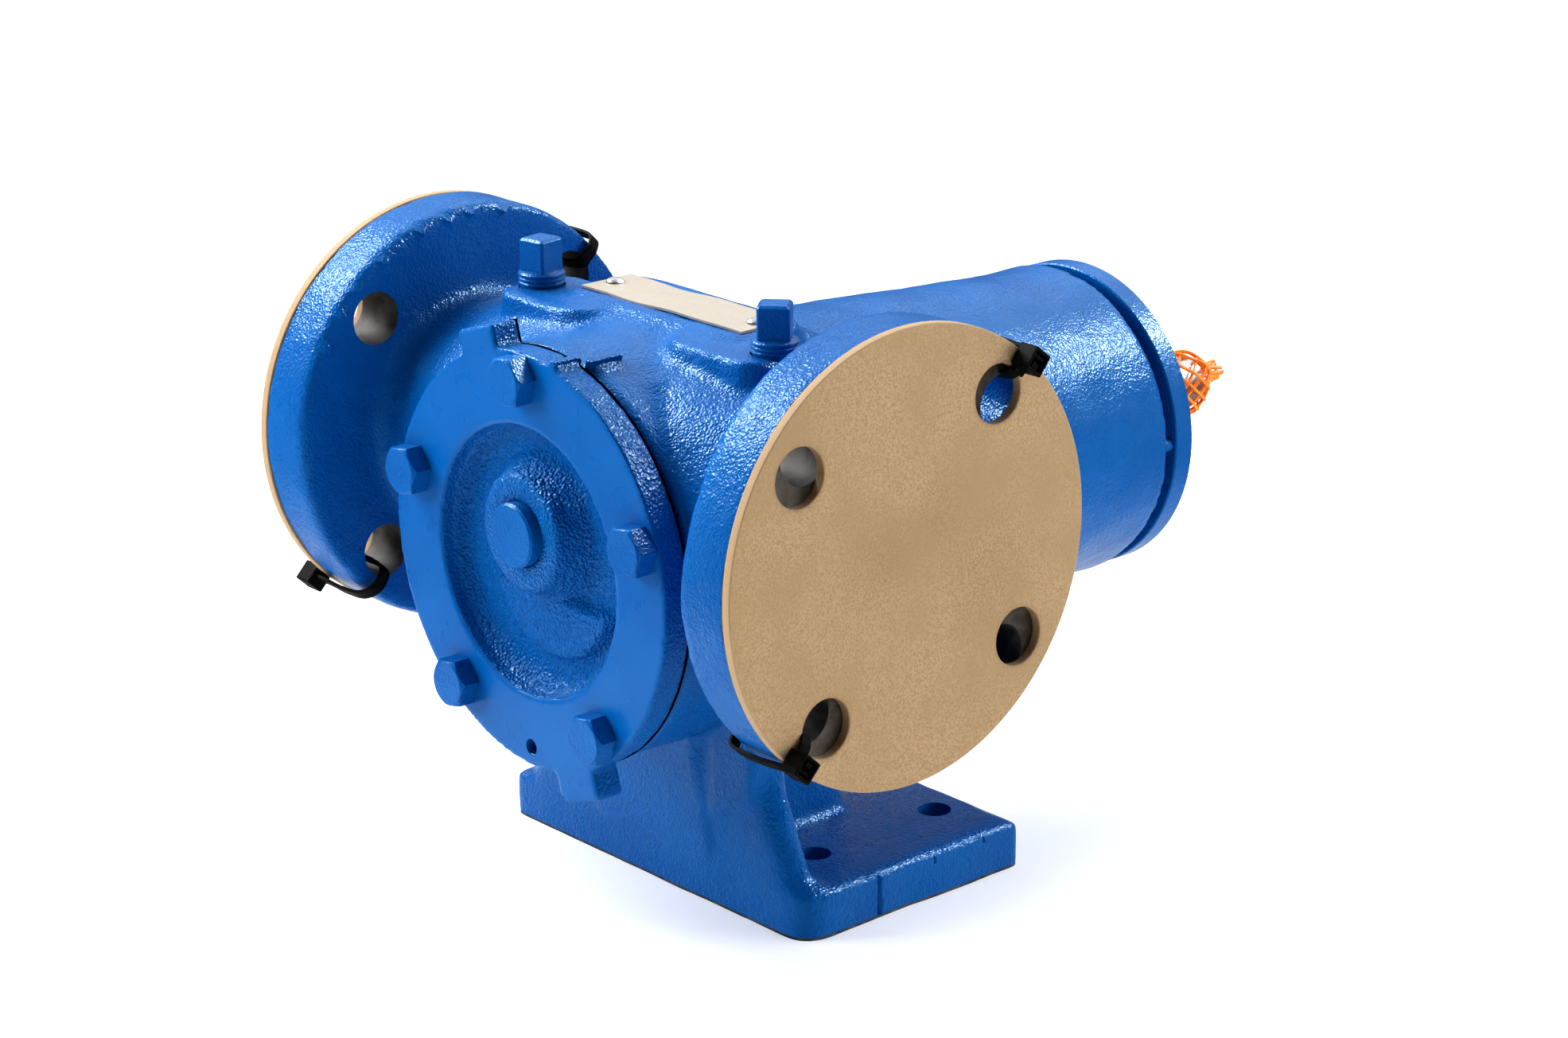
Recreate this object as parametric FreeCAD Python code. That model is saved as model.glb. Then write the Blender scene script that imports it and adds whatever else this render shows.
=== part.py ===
"""Internal gear pump on its own foot, as separate pieces.

The head faces -Y, the drive shaft leaves along +Y, the ports open along X and +Z is up.
The origin is the centre of the foot's four bolt holes, on the floor. Lengths are in millimetres.
"""
import FreeCAD
import Part
import math
import os

V = FreeCAD.Vector
X_AXIS = V(1, 0, 0)
Y_AXIS = V(0, 1, 0)
Z_AXIS = V(0, 0, 1)

# Places of the two main axes
shaft_height = 128.4
port_rise = 18.9
port_y = -51.9
pin_rise = 10.6

# Clearances, and how far a cutting shape runs past what it cuts
over = 1.0
running_gap = 0.05
slip_gap = 0.05
tip_gap = 0.15
side_gap = 0.1
thread_gap = 0.1
seat_gap = 0.02

# Pipe ports
flange_diameter = 152.4
flange_thickness = 21.7
flange_span = 246.2
flange_bolt_circle = 120.65
flange_hole_diameter = 19.05
right_hole_allowance = 0.35
flange_hole_count = 4
flange_edge = 1.4
flange_face_edge = 0.5
port_bore = 50.8
neck_diameter_at_flange = 86.0
neck_diameter_at_body = 104.0
neck_flare = 5.0
neck_bend = 0.3
neck_taper_reach = 20.0
cover_diameter = 153.2
cover_thickness = 3.6
cover_hole_diameter = 19.8
right_cover_turn = 6.8

# Casing and drum
barrel_diameter = 144.0
drum_diameter = 115.2
casing_face_to_port = 45.7
barrel_length = 42.0
drum_blend_length = 174.0
drum_blend_middle = 72.0
drum_blend_mid_diameter = 129.0
drum_end_to_port = 192.2
drum_bore = 100.0
drum_bore_depth = 56.0
drum_wall = 9.0
drum_chamfer = 1.0

# Top of the casing
shelf_height = 74.0
shelf_front = 17.0
shelf_back = 15.0
shelf_start = 20.5
shelf_end = 70.0
shelf_corner = 11.0
plug_offset = 61.5
pad_height = 76.0
pad_length = 92.0
pad_front = -3.0
pad_back = 29.0
pad_corner = 8.0
pad_edge = 1.2
crown_front = -30.0
crown_back = 50.0
crown_drop = 10.0
mark_angle = 75.0
mark_width = 3.2
mark_proud = 2.2
mark_reach = 14.0
mark_skew = 1.5
bolt_hole_spare = 2.0

# Foot
foot_length = 101.6
foot_width = 154.8
foot_front_to_port = -5.5
foot_thickness = 17.0
foot_corner = 3.0
foot_front_corner = 9.0
foot_hole_diameter = 12.0
foot_hole_pitch_x = 104.8
foot_hole_pitch_y = 57.2
wall_thickness = 11.0
wall_top_width = 78.0
wall_inset = 4.4
pedestal_width = 61.0
pedestal_back = 64.0
pedestal_proud = 4.0
pedestal_corner = 6.0
buttress_inner = 33.6
buttress_outer = 55.6
buttress_bottom = 34.0
buttress_proud = 3.0
buttress_top_reach = 62.0
buttress_depth = 16.0

# Rotor and idler
rotor_diameter = 104.0
rotor_teeth = 11
idler_teeth = 8
finger_width = 11.0
finger_root_width = 16.5
finger_length = 50.0
rotor_plate = 14.0
idler_diameter = 67.0
flank_first_roll = 28.0
flank_roll_step = 8.0
flank_points = 8
mesh_gap = 0.08
idler_pin_diameter = 22.2
idler_bushing_wall = 4.0
crescent_gap = 0.15
crescent_horn_drop = 9.0
pin_setback = 0.3
pin_edge = 0.8
bushing_inset = 0.2

# Head
head_diameter = 144.7
head_rim_thickness = 11.1
head_rim_edge = 0.6
head_spigot_depth = 6.0
gasket_thickness = 0.8
gasket_inset = 0.5
dish_diameter = 94.8
dish_depth = 9.0
dish_slope = 2.0
dish_round = 7.0
boss_diameter = 41.0
boss_proud = 2.2
boss_edge = 1.5
boss_flare = 6.0
island_diameter = 67.0
island_offset = 6.0
island_drop = 11.4
island_height = 3.6
pin_proud = 5.9
ear_reach = 80.6
ear_root = 12.0
ear_spread = 14.0
ear_angle = 107.7
ear_flare = 1.8
head_bolt_circle = 127.0
head_bolt_count = 5
head_bolt_diameter = 11.1
head_bolt_clearance = 0.3
head_bolt_flats = 15.88
head_bolt_head = 7.3
head_bolt_bite = 20.0
head_bolt_turn = 8.0
head_bolt_edge = 0.4
head_bolt_slope = 1.6
jack_hole_diameter = 5.0
jack_hole_radius = 65.8

# Shaft
shaft_diameter = 28.5
shaft_bearing_diameter = 25.0
shaft_thread_diameter = 22.0
shaft_seal_diameter = 20.6
shaft_end_diameter = 19.05
shaft_end_to_port = 265.0
keyway_width = 4.76
keyway_depth = 2.4
keyway_length = 42.0
shaft_end_chamfer = 1.0
shaft_relief = 1.0

# Shaft bushing and seal
bushing_outer = 38.0
bushing_length = 32.0
seal_chamber_diameter = 64.0
seal_chamber_length = 42.0
gland_diameter = 84.0
gland_thickness = 12.0
gland_bolt_circle = 73.0
gland_bolt_count = 4
gland_bolt_diameter = 6.0
gland_bolt_head = 4.2
gland_bolt_flats = 10.0
gland_bolt_bite = 12.0
gland_shaft_gap = 1.5
seal_seat_outer = 46.0
seal_seat_length = 9.0
seal_seat_stand = 2.0
seal_shaft_gap = 1.0
seal_cup_gap = 2.5
seal_ring_outer = 44.0
seal_ring_length = 8.0
seal_nose_length = 2.0
seal_nose_step = 3.0
bellows_length = 9.0
bellows_wall = 3.0
spring_wire = 2.4
spring_stand = 5.3
spring_turns = 3.0
spring_gap = 0.2
seal_collar_length = 8.0
seal_collar_wall = 6.5
seal_collar_gap = 1.0
seal_cup_wall = 2.5

# Bearing and its carrier
bearing_pitch = 43.5
bearing_section = 18.5
bearing_row_width = 17.0
roller_count = 12
roller_slope = 10.0
roller_half_angle = 2.0
roller_length = 11.0
cage_thickness = 2.0
cage_rim = 1.2
roller_end_gap = 0.8
small_rib = 1.0
large_rib = 2.5
carrier_diameter = 114.7
carrier_flange = 9.8
carrier_gap = 4.7
carrier_engagement = 52.0
carrier_inner_shoulder = 46.0
carrier_edge = 1.5
carrier_front_edge = 0.5
shoulder_width = 4.0
lip_seal_width = 8.0
lip_seal_outer = 46.0
outer_lip_seal_outer = 38.0
lip_slope = 3.0
lip_rise = 2.0
seal_case = 2.0
seal_case_lip = 1.0
cap_outer = 70.0
cap_edge = 1.0
cap_land = 4.0
cap_shoulder = 1.0
cap_shaft_gap = 3.0
cap_pin_circle = 56.0
cap_pin_diameter = 5.0
cap_pin_depth = 5.0
lock_nut_outer = 36.0
lock_nut_width = 8.0
lock_nut_notches = 4
lock_nut_notch_width = 4.0
lock_nut_notch_depth = 2.0
lock_washer_thickness = 1.5
set_screw_diameter = 5.0
set_screw_circle = 107.0
set_screw_socket = 2.5
set_screw_socket_depth = 3.0
set_screw_drop = 1.0

# Small parts
plug_thread_diameter = 16.4
plug_square = 11.1
plug_square_height = 10.8
plug_thread_show = 5.0
plug_thread_bite = 9.0
plug_corner = 1.2
left_plug_turn = 10.0
right_plug_turn = 42.0
plate_length = 84.0
plate_width = 22.0
plate_thickness = 0.8
plate_screw_inset = 5.0
drive_screw_head = 6.0
drive_screw_height = 1.8
drive_screw_shank = 3.0
drive_screw_bite = 6.0

# Places that follow from the sizes above
bearing_outer = bearing_pitch + bearing_section
shaft_z = shaft_height
port_z = shaft_height + port_rise
pin_z = shaft_height + pin_rise
flange_x = flange_span / 2
casing_face_y = port_y - casing_face_to_port
head_back_y = casing_face_y - gasket_thickness
head_face_y = head_back_y - head_rim_thickness
head_inner_y = head_back_y + head_spigot_depth
finger_start_y = head_inner_y + side_gap
plate_front_y = finger_start_y + finger_length
rotor_back_y = plate_front_y + rotor_plate
chamber_end_y = rotor_back_y + side_gap
bore_radius = rotor_diameter / 2 + tip_gap
bushing_end_y = chamber_end_y + bushing_length
seal_end_y = bushing_end_y + seal_chamber_length
gland_back_y = seal_end_y + gland_thickness
drum_end_y = port_y + drum_end_to_port
carrier_front_y = drum_end_y - carrier_engagement
carrier_flange_y = drum_end_y + carrier_gap
carrier_back_y = carrier_flange_y + carrier_flange
bearing_y = carrier_front_y + lip_seal_width + shoulder_width
bearing_middle_y = bearing_y + bearing_row_width
bearing_back_y = bearing_y + 2 * bearing_row_width
shaft_end_y = port_y + shaft_end_to_port
foot_front_y = port_y + foot_front_to_port
foot_back_y = foot_front_y + foot_length
rotor_pitch_radius = pin_rise * rotor_teeth / (rotor_teeth - idler_teeth)
idler_pitch_radius = rotor_pitch_radius - pin_rise


def cylinder(radius, y0, y1, z=shaft_z, x=0.0):
    """Solid round bar along Y from y0 to y1."""
    return Part.makeCylinder(radius, y1 - y0, V(x, y0, z), Y_AXIS)


def ring(outer, inner, y0, y1, z=shaft_z):
    """Round bar along Y with a round hole through it."""
    return cylinder(outer, y0, y1, z).cut(cylinder(inner, y0 - over, y1 + over, z))


def turned(points, z=shaft_z):
    """Solid turned about the Y axis at height z from (y, radius) corners."""
    corners = [V(0, y, z + radius) for y, radius in points]
    face = Part.Face(Part.makePolygon(corners + [corners[0]]))
    return face.revolve(V(0, 0, z), Y_AXIS, 360)


def around(shape, angle, z=shaft_z):
    """Copy of a shape turned about the Y axis at height z, counted from +X towards +Z."""
    copy = shape.copy()
    copy.rotate(V(0, 0, z), Y_AXIS, -angle)
    return copy


def on_circle(diameter, count, start):
    """(x, z) places round the shaft axis, counted from +X towards +Z in degrees."""
    places = []
    for k in range(count):
        angle = math.radians(start + 360.0 * k / count)
        places.append((diameter / 2 * math.cos(angle), shaft_z + diameter / 2 * math.sin(angle)))
    return places


def fused(shapes):
    """One solid from touching or crossing shapes, without leftover seams."""
    whole = shapes[0].multiFuse(shapes[1:])
    return whole.removeSplitter()


def box(x0, x1, y0, y1, z0, z1):
    """Rectangular block between two corners."""
    return Part.makeBox(x1 - x0, y1 - y0, z1 - z0, V(x0, y0, z0))


def slab(points, y0, y1):
    """Flat outline of (x, z) corners, pushed along Y."""
    corners = [V(x, y0, z) for x, z in points]
    face = Part.Face(Part.makePolygon(corners + [corners[0]]))
    return face.extrude(V(0, y1 - y0, 0))


def hexagon(flats, y0, y1, x, z, turn=0.0):
    """Hexagonal bar along Y."""
    radius = flats / math.sqrt(3)
    points = []
    for k in range(6):
        angle = math.radians(60 * k + turn)
        points.append((x + radius * math.cos(angle), z + radius * math.sin(angle)))
    return slab(points, y0, y1)


def write(name, shape):
    """Save one piece under its own name."""
    shape.exportStep("parts/" + name + ".step")
    print(name, len(shape.Solids), round(shape.Volume), shape.isValid())


# Casing

def drum_profile():
    """Barrel, tapering blend and drum, turned about the shaft axis."""
    barrel = barrel_diameter / 2
    drum = drum_diameter / 2
    blend_start = casing_face_y + barrel_length
    blend_end = blend_start + drum_blend_length
    blend_mid = blend_start + drum_blend_middle
    corners = [
        V(0, casing_face_y, shaft_z),
        V(0, casing_face_y, shaft_z + barrel),
        V(0, blend_start, shaft_z + barrel),
        V(0, blend_end, shaft_z + drum),
        V(0, drum_end_y - drum_chamfer, shaft_z + drum),
        V(0, drum_end_y, shaft_z + drum - drum_chamfer),
        V(0, drum_end_y, shaft_z),
    ]
    middle = V(0, blend_mid, shaft_z + drum_blend_mid_diameter / 2)
    edges = [
        Part.LineSegment(corners[0], corners[1]).toShape(),
        Part.LineSegment(corners[1], corners[2]).toShape(),
        Part.Arc(corners[2], middle, corners[3]).toShape(),
        Part.LineSegment(corners[3], corners[4]).toShape(),
        Part.LineSegment(corners[4], corners[5]).toShape(),
        Part.LineSegment(corners[5], corners[6]).toShape(),
        Part.LineSegment(corners[6], corners[0]).toShape(),
    ]
    return Part.Face(Part.Wire(edges)).revolve(V(0, 0, shaft_z), Y_AXIS, 360)


def port_turned(side, outline):
    """Solid turned about the port axis from (x, radius) corners; side is 1 or -1."""
    corners = [V(side * x, port_y, port_z + r) for x, r in outline]
    face = Part.Face(Part.makePolygon(corners + [corners[0]]))
    return face.revolve(V(0, port_y, port_z), X_AXIS, 360)


def port_neck(side):
    """Conical neck from the barrel to the flange, kept behind the head's seat."""
    back = flange_x - flange_thickness
    inner = plug_offset - neck_taper_reach
    r_neck = neck_diameter_at_flange / 2
    r_body = neck_diameter_at_body / 2
    bend = neck_flare * neck_bend
    neck = port_turned(side, [(0, 0), (0, r_body), (inner, r_body), (back - neck_flare, r_neck),
                              (back - bend, r_neck + bend), (back + over, r_neck + neck_flare + over),
                              (back + over, 0)])
    return neck.cut(box(-flange_x, flange_x, casing_face_y - flange_diameter, casing_face_y, 0, 2 * port_z))


def port_flange(side):
    """Round flange with broken edges."""
    back = flange_x - flange_thickness
    r_rim = flange_diameter / 2
    return port_turned(side, [(back, 0), (back, r_rim - flange_edge), (back + flange_edge, r_rim),
                              (flange_x - flange_face_edge, r_rim), (flange_x, r_rim - flange_face_edge),
                              (flange_x, 0)])


def upright_edges(shape):
    """Straight edges that run along Z."""
    return [e for e in shape.Edges if abs(e.tangentAt(e.FirstParameter).z) > 0.99]


def rounded_block(x0, x1, y0, y1, z0, z1, corner):
    """Block with rounded upright edges."""
    block = box(x0, x1, y0, y1, z0, z1)
    return block.makeFillet(corner, upright_edges(block))


def top_shelf():
    """Plug shelf on each neck, the crown between them and the raised plate pad on it."""
    shelf_z = shaft_z + shelf_height
    pad_z = shaft_z + pad_height
    low = port_z
    shapes = []
    for x0, x1 in ((shelf_start, shelf_end), (-shelf_end, -shelf_start)):
        shapes.append(rounded_block(x0, x1, port_y - shelf_front, port_y + shelf_back, low, shelf_z, shelf_corner))
    pad = rounded_block(-pad_length / 2, pad_length / 2, port_y + pad_front, port_y + pad_back, low, pad_z,
                        pad_corner)
    top = [e for e in pad.Edges if e.BoundBox.ZMin > pad_z - 0.01]
    shapes.append(pad.makeChamfer(pad_edge, top))
    side = [V(-pad_length / 2, port_y + y, z) for y, z in (
        (crown_front, low), (crown_front, shelf_z - crown_drop), (pad_front, shelf_z), (pad_back, shelf_z),
        (crown_back, shelf_z - crown_drop), (crown_back, low))]
    crown = Part.Face(Part.makePolygon(side + [side[0]])).extrude(V(pad_length, 0, 0))
    ends = [e for e in crown.Edges if e.BoundBox.XLength < 0.01 and e.BoundBox.ZMin > low + over]
    shapes.append(crown.makeChamfer(crown_drop, ends))
    return fused(shapes)


def alignment_mark(y0, y1, angle):
    """Short raised bar along a rim, at an angle counted from +X towards +Z."""
    reach = barrel_diameter / 2
    bar = box(reach - mark_proud, reach + mark_proud, y0, y1, shaft_z - mark_width / 2, shaft_z + mark_width / 2)
    return around(bar, angle)


def foot():
    """Foot plate with the sloping front wall, the pedestal under the barrel and two side ribs."""
    half = foot_width / 2
    plate = box(-half, half, foot_front_y, foot_back_y, 0, foot_thickness)
    front = [e for e in upright_edges(plate) if e.BoundBox.YMax < foot_front_y + over]
    plate = plate.makeFillet(foot_front_corner, front)
    rear = [e for e in upright_edges(plate) if e.BoundBox.YMin > foot_back_y - over]
    plate = plate.makeFillet(foot_corner, rear)
    upper = [e for e in plate.Edges
             if e.BoundBox.ZMin > foot_thickness - 0.01 and e.BoundBox.YMax > foot_front_y + foot_length / 2]
    plate = plate.makeFillet(foot_corner, upper)
    top_half = wall_top_width / 2
    wall_top = shaft_z - barrel_diameter / 4
    step = half - wall_inset
    wall = slab([(-half, 0), (half, 0), (half, foot_thickness), (step, foot_thickness + wall_inset / 2),
                 (top_half, wall_top), (-top_half, wall_top), (-step, foot_thickness + wall_inset / 2),
                 (-half, foot_thickness)], foot_front_y, foot_front_y + wall_thickness)
    corners = [e for e in wall.Edges
               if e.BoundBox.XMin > top_half - over or e.BoundBox.XMax < over - top_half]
    corners = [e for e in corners
               if abs(e.tangentAt(e.FirstParameter).y) < 0.01 and e.BoundBox.YMax < foot_front_y + over]
    wall = wall.makeFillet(foot_front_corner, corners)
    pedestal = rounded_block(-pedestal_width / 2, pedestal_width / 2, foot_front_y - pedestal_proud,
                             foot_front_y + pedestal_back, foot_thickness, shaft_z, pedestal_corner)
    return [plate, wall, pedestal, buttress(1), buttress(-1)]


def buttress(side):
    """Sloping rib from the front wall up to the neck above it."""
    points = [(side * buttress_inner, buttress_bottom), (side * buttress_outer, buttress_bottom + wall_thickness),
              (side * buttress_top_reach, port_z - neck_diameter_at_flange / 4),
              (side * buttress_inner, port_z - neck_diameter_at_flange / 4)]
    return slab(points, foot_front_y - buttress_proud, foot_front_y - buttress_proud + buttress_depth)


def casing():
    """One casting: barrel, drum, both flanged ports, plate pad and foot, with all its bores."""
    ports = [port_neck(1), port_neck(-1), port_flange(1), port_flange(-1)]
    mark = alignment_mark(casing_face_y, casing_face_y + mark_reach, mark_angle - mark_skew)
    solid = fused([drum_profile(), top_shelf(), mark] + ports + foot())
    cuts = [
        cylinder(bore_radius, casing_face_y - over, chamber_end_y),
        cylinder(bushing_outer / 2 + seat_gap, chamber_end_y - over, bushing_end_y + over),
        cylinder(seal_chamber_diameter / 2, bushing_end_y, seal_end_y + over),
        cylinder(drum_diameter / 2 - drum_wall, seal_end_y, drum_end_y - drum_bore_depth),
        cylinder(drum_bore / 2 + slip_gap, drum_end_y - drum_bore_depth - over, drum_end_y + over),
    ]
    for side in (1, -1):
        start = V(side * bore_radius / 2, port_y, port_z)
        cuts.append(Part.makeCylinder(port_bore / 2, flange_x, start, X_AXIS * side))
        wide = flange_hole_diameter + (right_hole_allowance if side > 0 else 0.0)
        cuts.append(flange_holes(side, wide, flange_x - flange_thickness - neck_flare, flange_x + over))
        cuts.append(Part.makeCylinder(plug_thread_diameter / 2 + thread_gap, shelf_height,
                                      V(side * plug_offset, port_y, port_z), Z_AXIS))
    for x, z in on_circle(head_bolt_circle, head_bolt_count, 90):
        cuts.append(cylinder(head_bolt_diameter / 2 + thread_gap, casing_face_y - over,
                             casing_face_y + head_bolt_bite + bolt_hole_spare, z, x))
    for x, z in on_circle(gland_bolt_circle, gland_bolt_count, 45):
        cuts.append(cylinder(gland_bolt_diameter / 2 + thread_gap, seal_end_y - gland_bolt_bite - bolt_hole_spare,
                             seal_end_y + over, z, x))
    for x in (-foot_hole_pitch_x / 2, foot_hole_pitch_x / 2):
        for y in (-foot_hole_pitch_y / 2, foot_hole_pitch_y / 2):
            cuts.append(Part.makeCylinder(foot_hole_diameter / 2, foot_thickness + 2 * over, V(x, y, -over), Z_AXIS))
    for x in plate_screw_places():
        cuts.append(Part.makeCylinder(drive_screw_shank / 2 + seat_gap, drive_screw_bite + over,
                                      V(x, plate_y(), shaft_z + pad_height - drive_screw_bite), Z_AXIS))
    return solid.cut(Part.makeCompound(cuts))


def flange_holes(side, diameter, x0, x1, turn=0.0):
    """Round bars through one flange, straddling the vertical centre line unless turned."""
    bars = []
    for k in range(flange_hole_count):
        angle = math.radians(360.0 * (k + 0.5) / flange_hole_count + turn)
        y = port_y + flange_bolt_circle / 2 * math.cos(angle)
        z = port_z + flange_bolt_circle / 2 * math.sin(angle)
        bars.append(Part.makeCylinder(diameter / 2, x1 - x0, V(side * x0, y, z), X_AXIS * side))
    return Part.makeCompound(bars)


def port_cover(side):
    """Board disc that closes a port for shipping; the right one sits slightly turned."""
    disc = Part.makeCylinder(cover_diameter / 2, cover_thickness, V(side * flange_x, port_y, port_z),
                             X_AXIS * side)
    turn = right_cover_turn if side > 0 else 0.0
    return disc.cut(flange_holes(side, cover_hole_diameter, flange_x - over, flange_x + cover_thickness + over, turn))


# Head

def ear(angle):
    """Alignment ear on the rim of the head, slightly wider at its root."""
    inner = head_diameter / 2 - ear_root
    half = ear_spread / 2
    points = []
    for radius, turn in ((inner, -half - ear_flare), (ear_reach, -half), (ear_reach, half),
                         (inner, half + ear_flare)):
        a = math.radians(angle + turn)
        points.append((radius * math.cos(a), shaft_z + radius * math.sin(a)))
    return slab(points, head_face_y, head_back_y)


def crescent():
    """Crescent that fills the gap between the idler and the rotor on the side away from the mesh."""
    outer = rotor_pitch_radius - finger_width / 2 - crescent_gap
    inner = idler_diameter / 2 + crescent_gap
    end_y = finger_start_y + finger_length - side_gap
    body = cylinder(outer, head_inner_y - over, end_y)
    body = body.cut(cylinder(inner, head_inner_y - 2 * over, end_y + over, pin_z))
    above = box(-outer, outer, head_inner_y - 2 * over, end_y + over, shaft_z - crescent_horn_drop,
                shaft_z + outer)
    return body.cut(above)


def head():
    """Head casting: rim, dished face with the offset boss, spigot, crescent and bores."""
    r_rim = head_diameter / 2
    body = turned([(head_face_y, 0), (head_face_y, r_rim - head_rim_edge), (head_face_y + head_rim_edge, r_rim),
                   (head_back_y, r_rim), (head_back_y, bore_radius - slip_gap),
                   (head_inner_y, bore_radius - slip_gap), (head_inner_y, 0)])
    r_dish = dish_diameter / 2
    dish = turned([(head_face_y - over, 0), (head_face_y - over, r_dish), (head_face_y, r_dish),
                   (head_face_y + dish_depth, r_dish - dish_slope), (head_face_y + dish_depth, 0)])
    bottom = [e for e in dish.Edges if e.BoundBox.YLength < 0.01 and e.BoundBox.YMin > head_face_y + over]
    dish = dish.makeFillet(dish_round, bottom)
    body = body.cut(dish)
    floor_y = head_face_y + dish_depth
    r_boss = boss_diameter / 2
    boss = turned([(head_face_y - boss_proud, 0), (head_face_y - boss_proud, r_boss - boss_edge),
                   (head_face_y - boss_proud + boss_edge, r_boss), (floor_y - boss_flare, r_boss + boss_edge),
                   (floor_y, r_boss + boss_flare), (floor_y, 0)], pin_z)
    island = cylinder(island_diameter / 2, floor_y - island_height, floor_y + over, shaft_z, island_offset)
    above = box(-head_diameter, head_diameter, head_face_y - over, head_back_y, shaft_z - island_drop,
                shaft_z + head_diameter)
    island = island.cut(above)
    upper = [e for e in island.Edges if e.BoundBox.YMax < floor_y - island_height + 0.01]
    island = island.makeChamfer(island_height / 2, upper)
    mark = alignment_mark(head_face_y, head_back_y, mark_angle + mark_skew)
    ears = [ear(ear_angle), ear(ear_angle + 180)]
    body = fused([body, boss, island, crescent(), mark] + ears)
    cuts = [cylinder(idler_pin_diameter / 2 + seat_gap, head_face_y - boss_proud - over, head_inner_y + over,
                     pin_z)]
    for x, z in on_circle(head_bolt_circle, head_bolt_count, 90):
        cuts.append(cylinder(head_bolt_diameter / 2 + head_bolt_clearance, head_face_y - over, head_back_y + over,
                             z, x))
    cuts.append(cylinder(jack_hole_diameter / 2, head_face_y - over, head_back_y + over,
                         shaft_z - jack_hole_radius))
    return body.cut(Part.makeCompound(cuts))


def head_gasket():
    """Thin ring between the head and the casing."""
    body = ring(barrel_diameter / 2, bore_radius + gasket_inset, head_back_y, casing_face_y)
    holes = [cylinder(head_bolt_diameter / 2 + head_bolt_clearance, head_back_y - over, casing_face_y + over, z, x)
             for x, z in on_circle(head_bolt_circle, head_bolt_count, 90)]
    return body.cut(Part.makeCompound(holes))


def head_capscrews():
    """Hexagon capscrews that hold the head."""
    bolts = []
    for x, z in on_circle(head_bolt_circle, head_bolt_count, 90):
        head_shape = hexagon(head_bolt_flats, head_face_y - head_bolt_head, head_face_y, x, z, head_bolt_turn)
        top = head_face_y - head_bolt_head
        narrow = head_bolt_flats / 2 - head_bolt_edge
        wide = head_bolt_flats / 2 + head_bolt_slope
        dome = turned([(top, 0), (top, narrow), (top + head_bolt_slope, wide), (head_face_y, wide),
                       (head_face_y, 0)], z)
        dome.translate(V(x, 0, 0))
        shank = cylinder(head_bolt_diameter / 2, head_face_y - over, casing_face_y + head_bolt_bite, z, x)
        bolts.append(head_shape.common(dome).fuse(shank).removeSplitter())
    return Part.makeCompound(bolts)


# Rotor, idler and what carries them

def finger(angle):
    """One rotor finger: round inner end on the pitch circle, wider towards the rim."""
    tip = finger_width / 2
    rim = rotor_diameter / 2
    half = finger_root_width / 2
    rim_x = math.sqrt(rim ** 2 - half ** 2)
    reach = rim_x - rotor_pitch_radius
    span = math.hypot(reach, half)
    turn = math.atan2(half, reach) + math.acos(tip / span)
    tx = rotor_pitch_radius + tip * math.cos(turn)
    tz = tip * math.sin(turn)
    y0 = finger_start_y
    at = {
        "outer_low": V(rim_x, y0, shaft_z - half),
        "outer_mid": V(rim, y0, shaft_z),
        "outer_high": V(rim_x, y0, shaft_z + half),
        "side_high": V(tx, y0, shaft_z + tz),
        "tip": V(rotor_pitch_radius - tip, y0, shaft_z),
        "side_low": V(tx, y0, shaft_z - tz),
    }
    wire = Part.Wire([
        Part.Arc(at["outer_low"], at["outer_mid"], at["outer_high"]).toShape(),
        Part.LineSegment(at["outer_high"], at["side_high"]).toShape(),
        Part.Arc(at["side_high"], at["tip"], at["side_low"]).toShape(),
        Part.LineSegment(at["side_low"], at["outer_low"]).toShape(),
    ])
    solid = Part.Face(wire).extrude(V(0, finger_length + over, 0))
    return around(solid, angle)


def rotor():
    """Back plate with a ring of fingers that stand forward into the chamber."""
    plate = cylinder(rotor_diameter / 2, plate_front_y, rotor_back_y)
    fingers = [finger(90.0 + 360.0 * k / rotor_teeth) for k in range(rotor_teeth)]
    whole = fused([plate] + fingers)
    return whole.cut(cylinder(shaft_diameter / 2 + seat_gap, plate_front_y - over, rotor_back_y + over))


def flank_point(roll, sweep):
    """Point (x, z) of the idler's tooth flank that meets a finger rolled by that angle from the top."""
    px = rotor_pitch_radius * math.sin(roll)
    pz = rotor_pitch_radius * math.cos(roll) - pin_rise
    reach = math.hypot(px, idler_pitch_radius - pz)
    cx = px - sweep * px / reach
    cz = pz + sweep * (idler_pitch_radius - pz) / reach
    back = roll * rotor_teeth / idler_teeth
    return cx * math.cos(back) - cz * math.sin(back), cx * math.sin(back) + cz * math.cos(back)


def idler_space(angle):
    """Space between two idler teeth: the area that a rotor finger's round end sweeps."""
    sweep = finger_width / 2 + mesh_gap
    y0 = finger_start_y
    rolls = [flank_first_roll + flank_roll_step * k for k in range(flank_points)]
    flank = [flank_point(math.radians(roll), sweep) for roll in rolls]
    left = [V(x, y0, pin_z + z) for x, z in flank]
    right = [V(-x, y0, pin_z + z) for x, z in flank]
    left_curve = Part.BSplineCurve()
    left_curve.interpolate(left)
    right_curve = Part.BSplineCurve()
    right_curve.interpolate(right)
    bottom = V(0, y0, pin_z + idler_pitch_radius - sweep)
    outside_z = pin_z + idler_diameter / 2 + 2 * over
    outer_left = V(left[-1].x, y0, outside_z)
    outer_right = V(right[-1].x, y0, outside_z)
    wire = Part.Wire([
        Part.Arc(left[0], bottom, right[0]).toShape(),
        right_curve.toShape(),
        Part.LineSegment(right[-1], outer_right).toShape(),
        Part.LineSegment(outer_right, outer_left).toShape(),
        Part.LineSegment(outer_left, left[-1]).toShape(),
        left_curve.toShape(),
    ])
    solid = Part.Face(wire).extrude(V(0, finger_length, 0))
    return around(solid, angle, pin_z)


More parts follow.
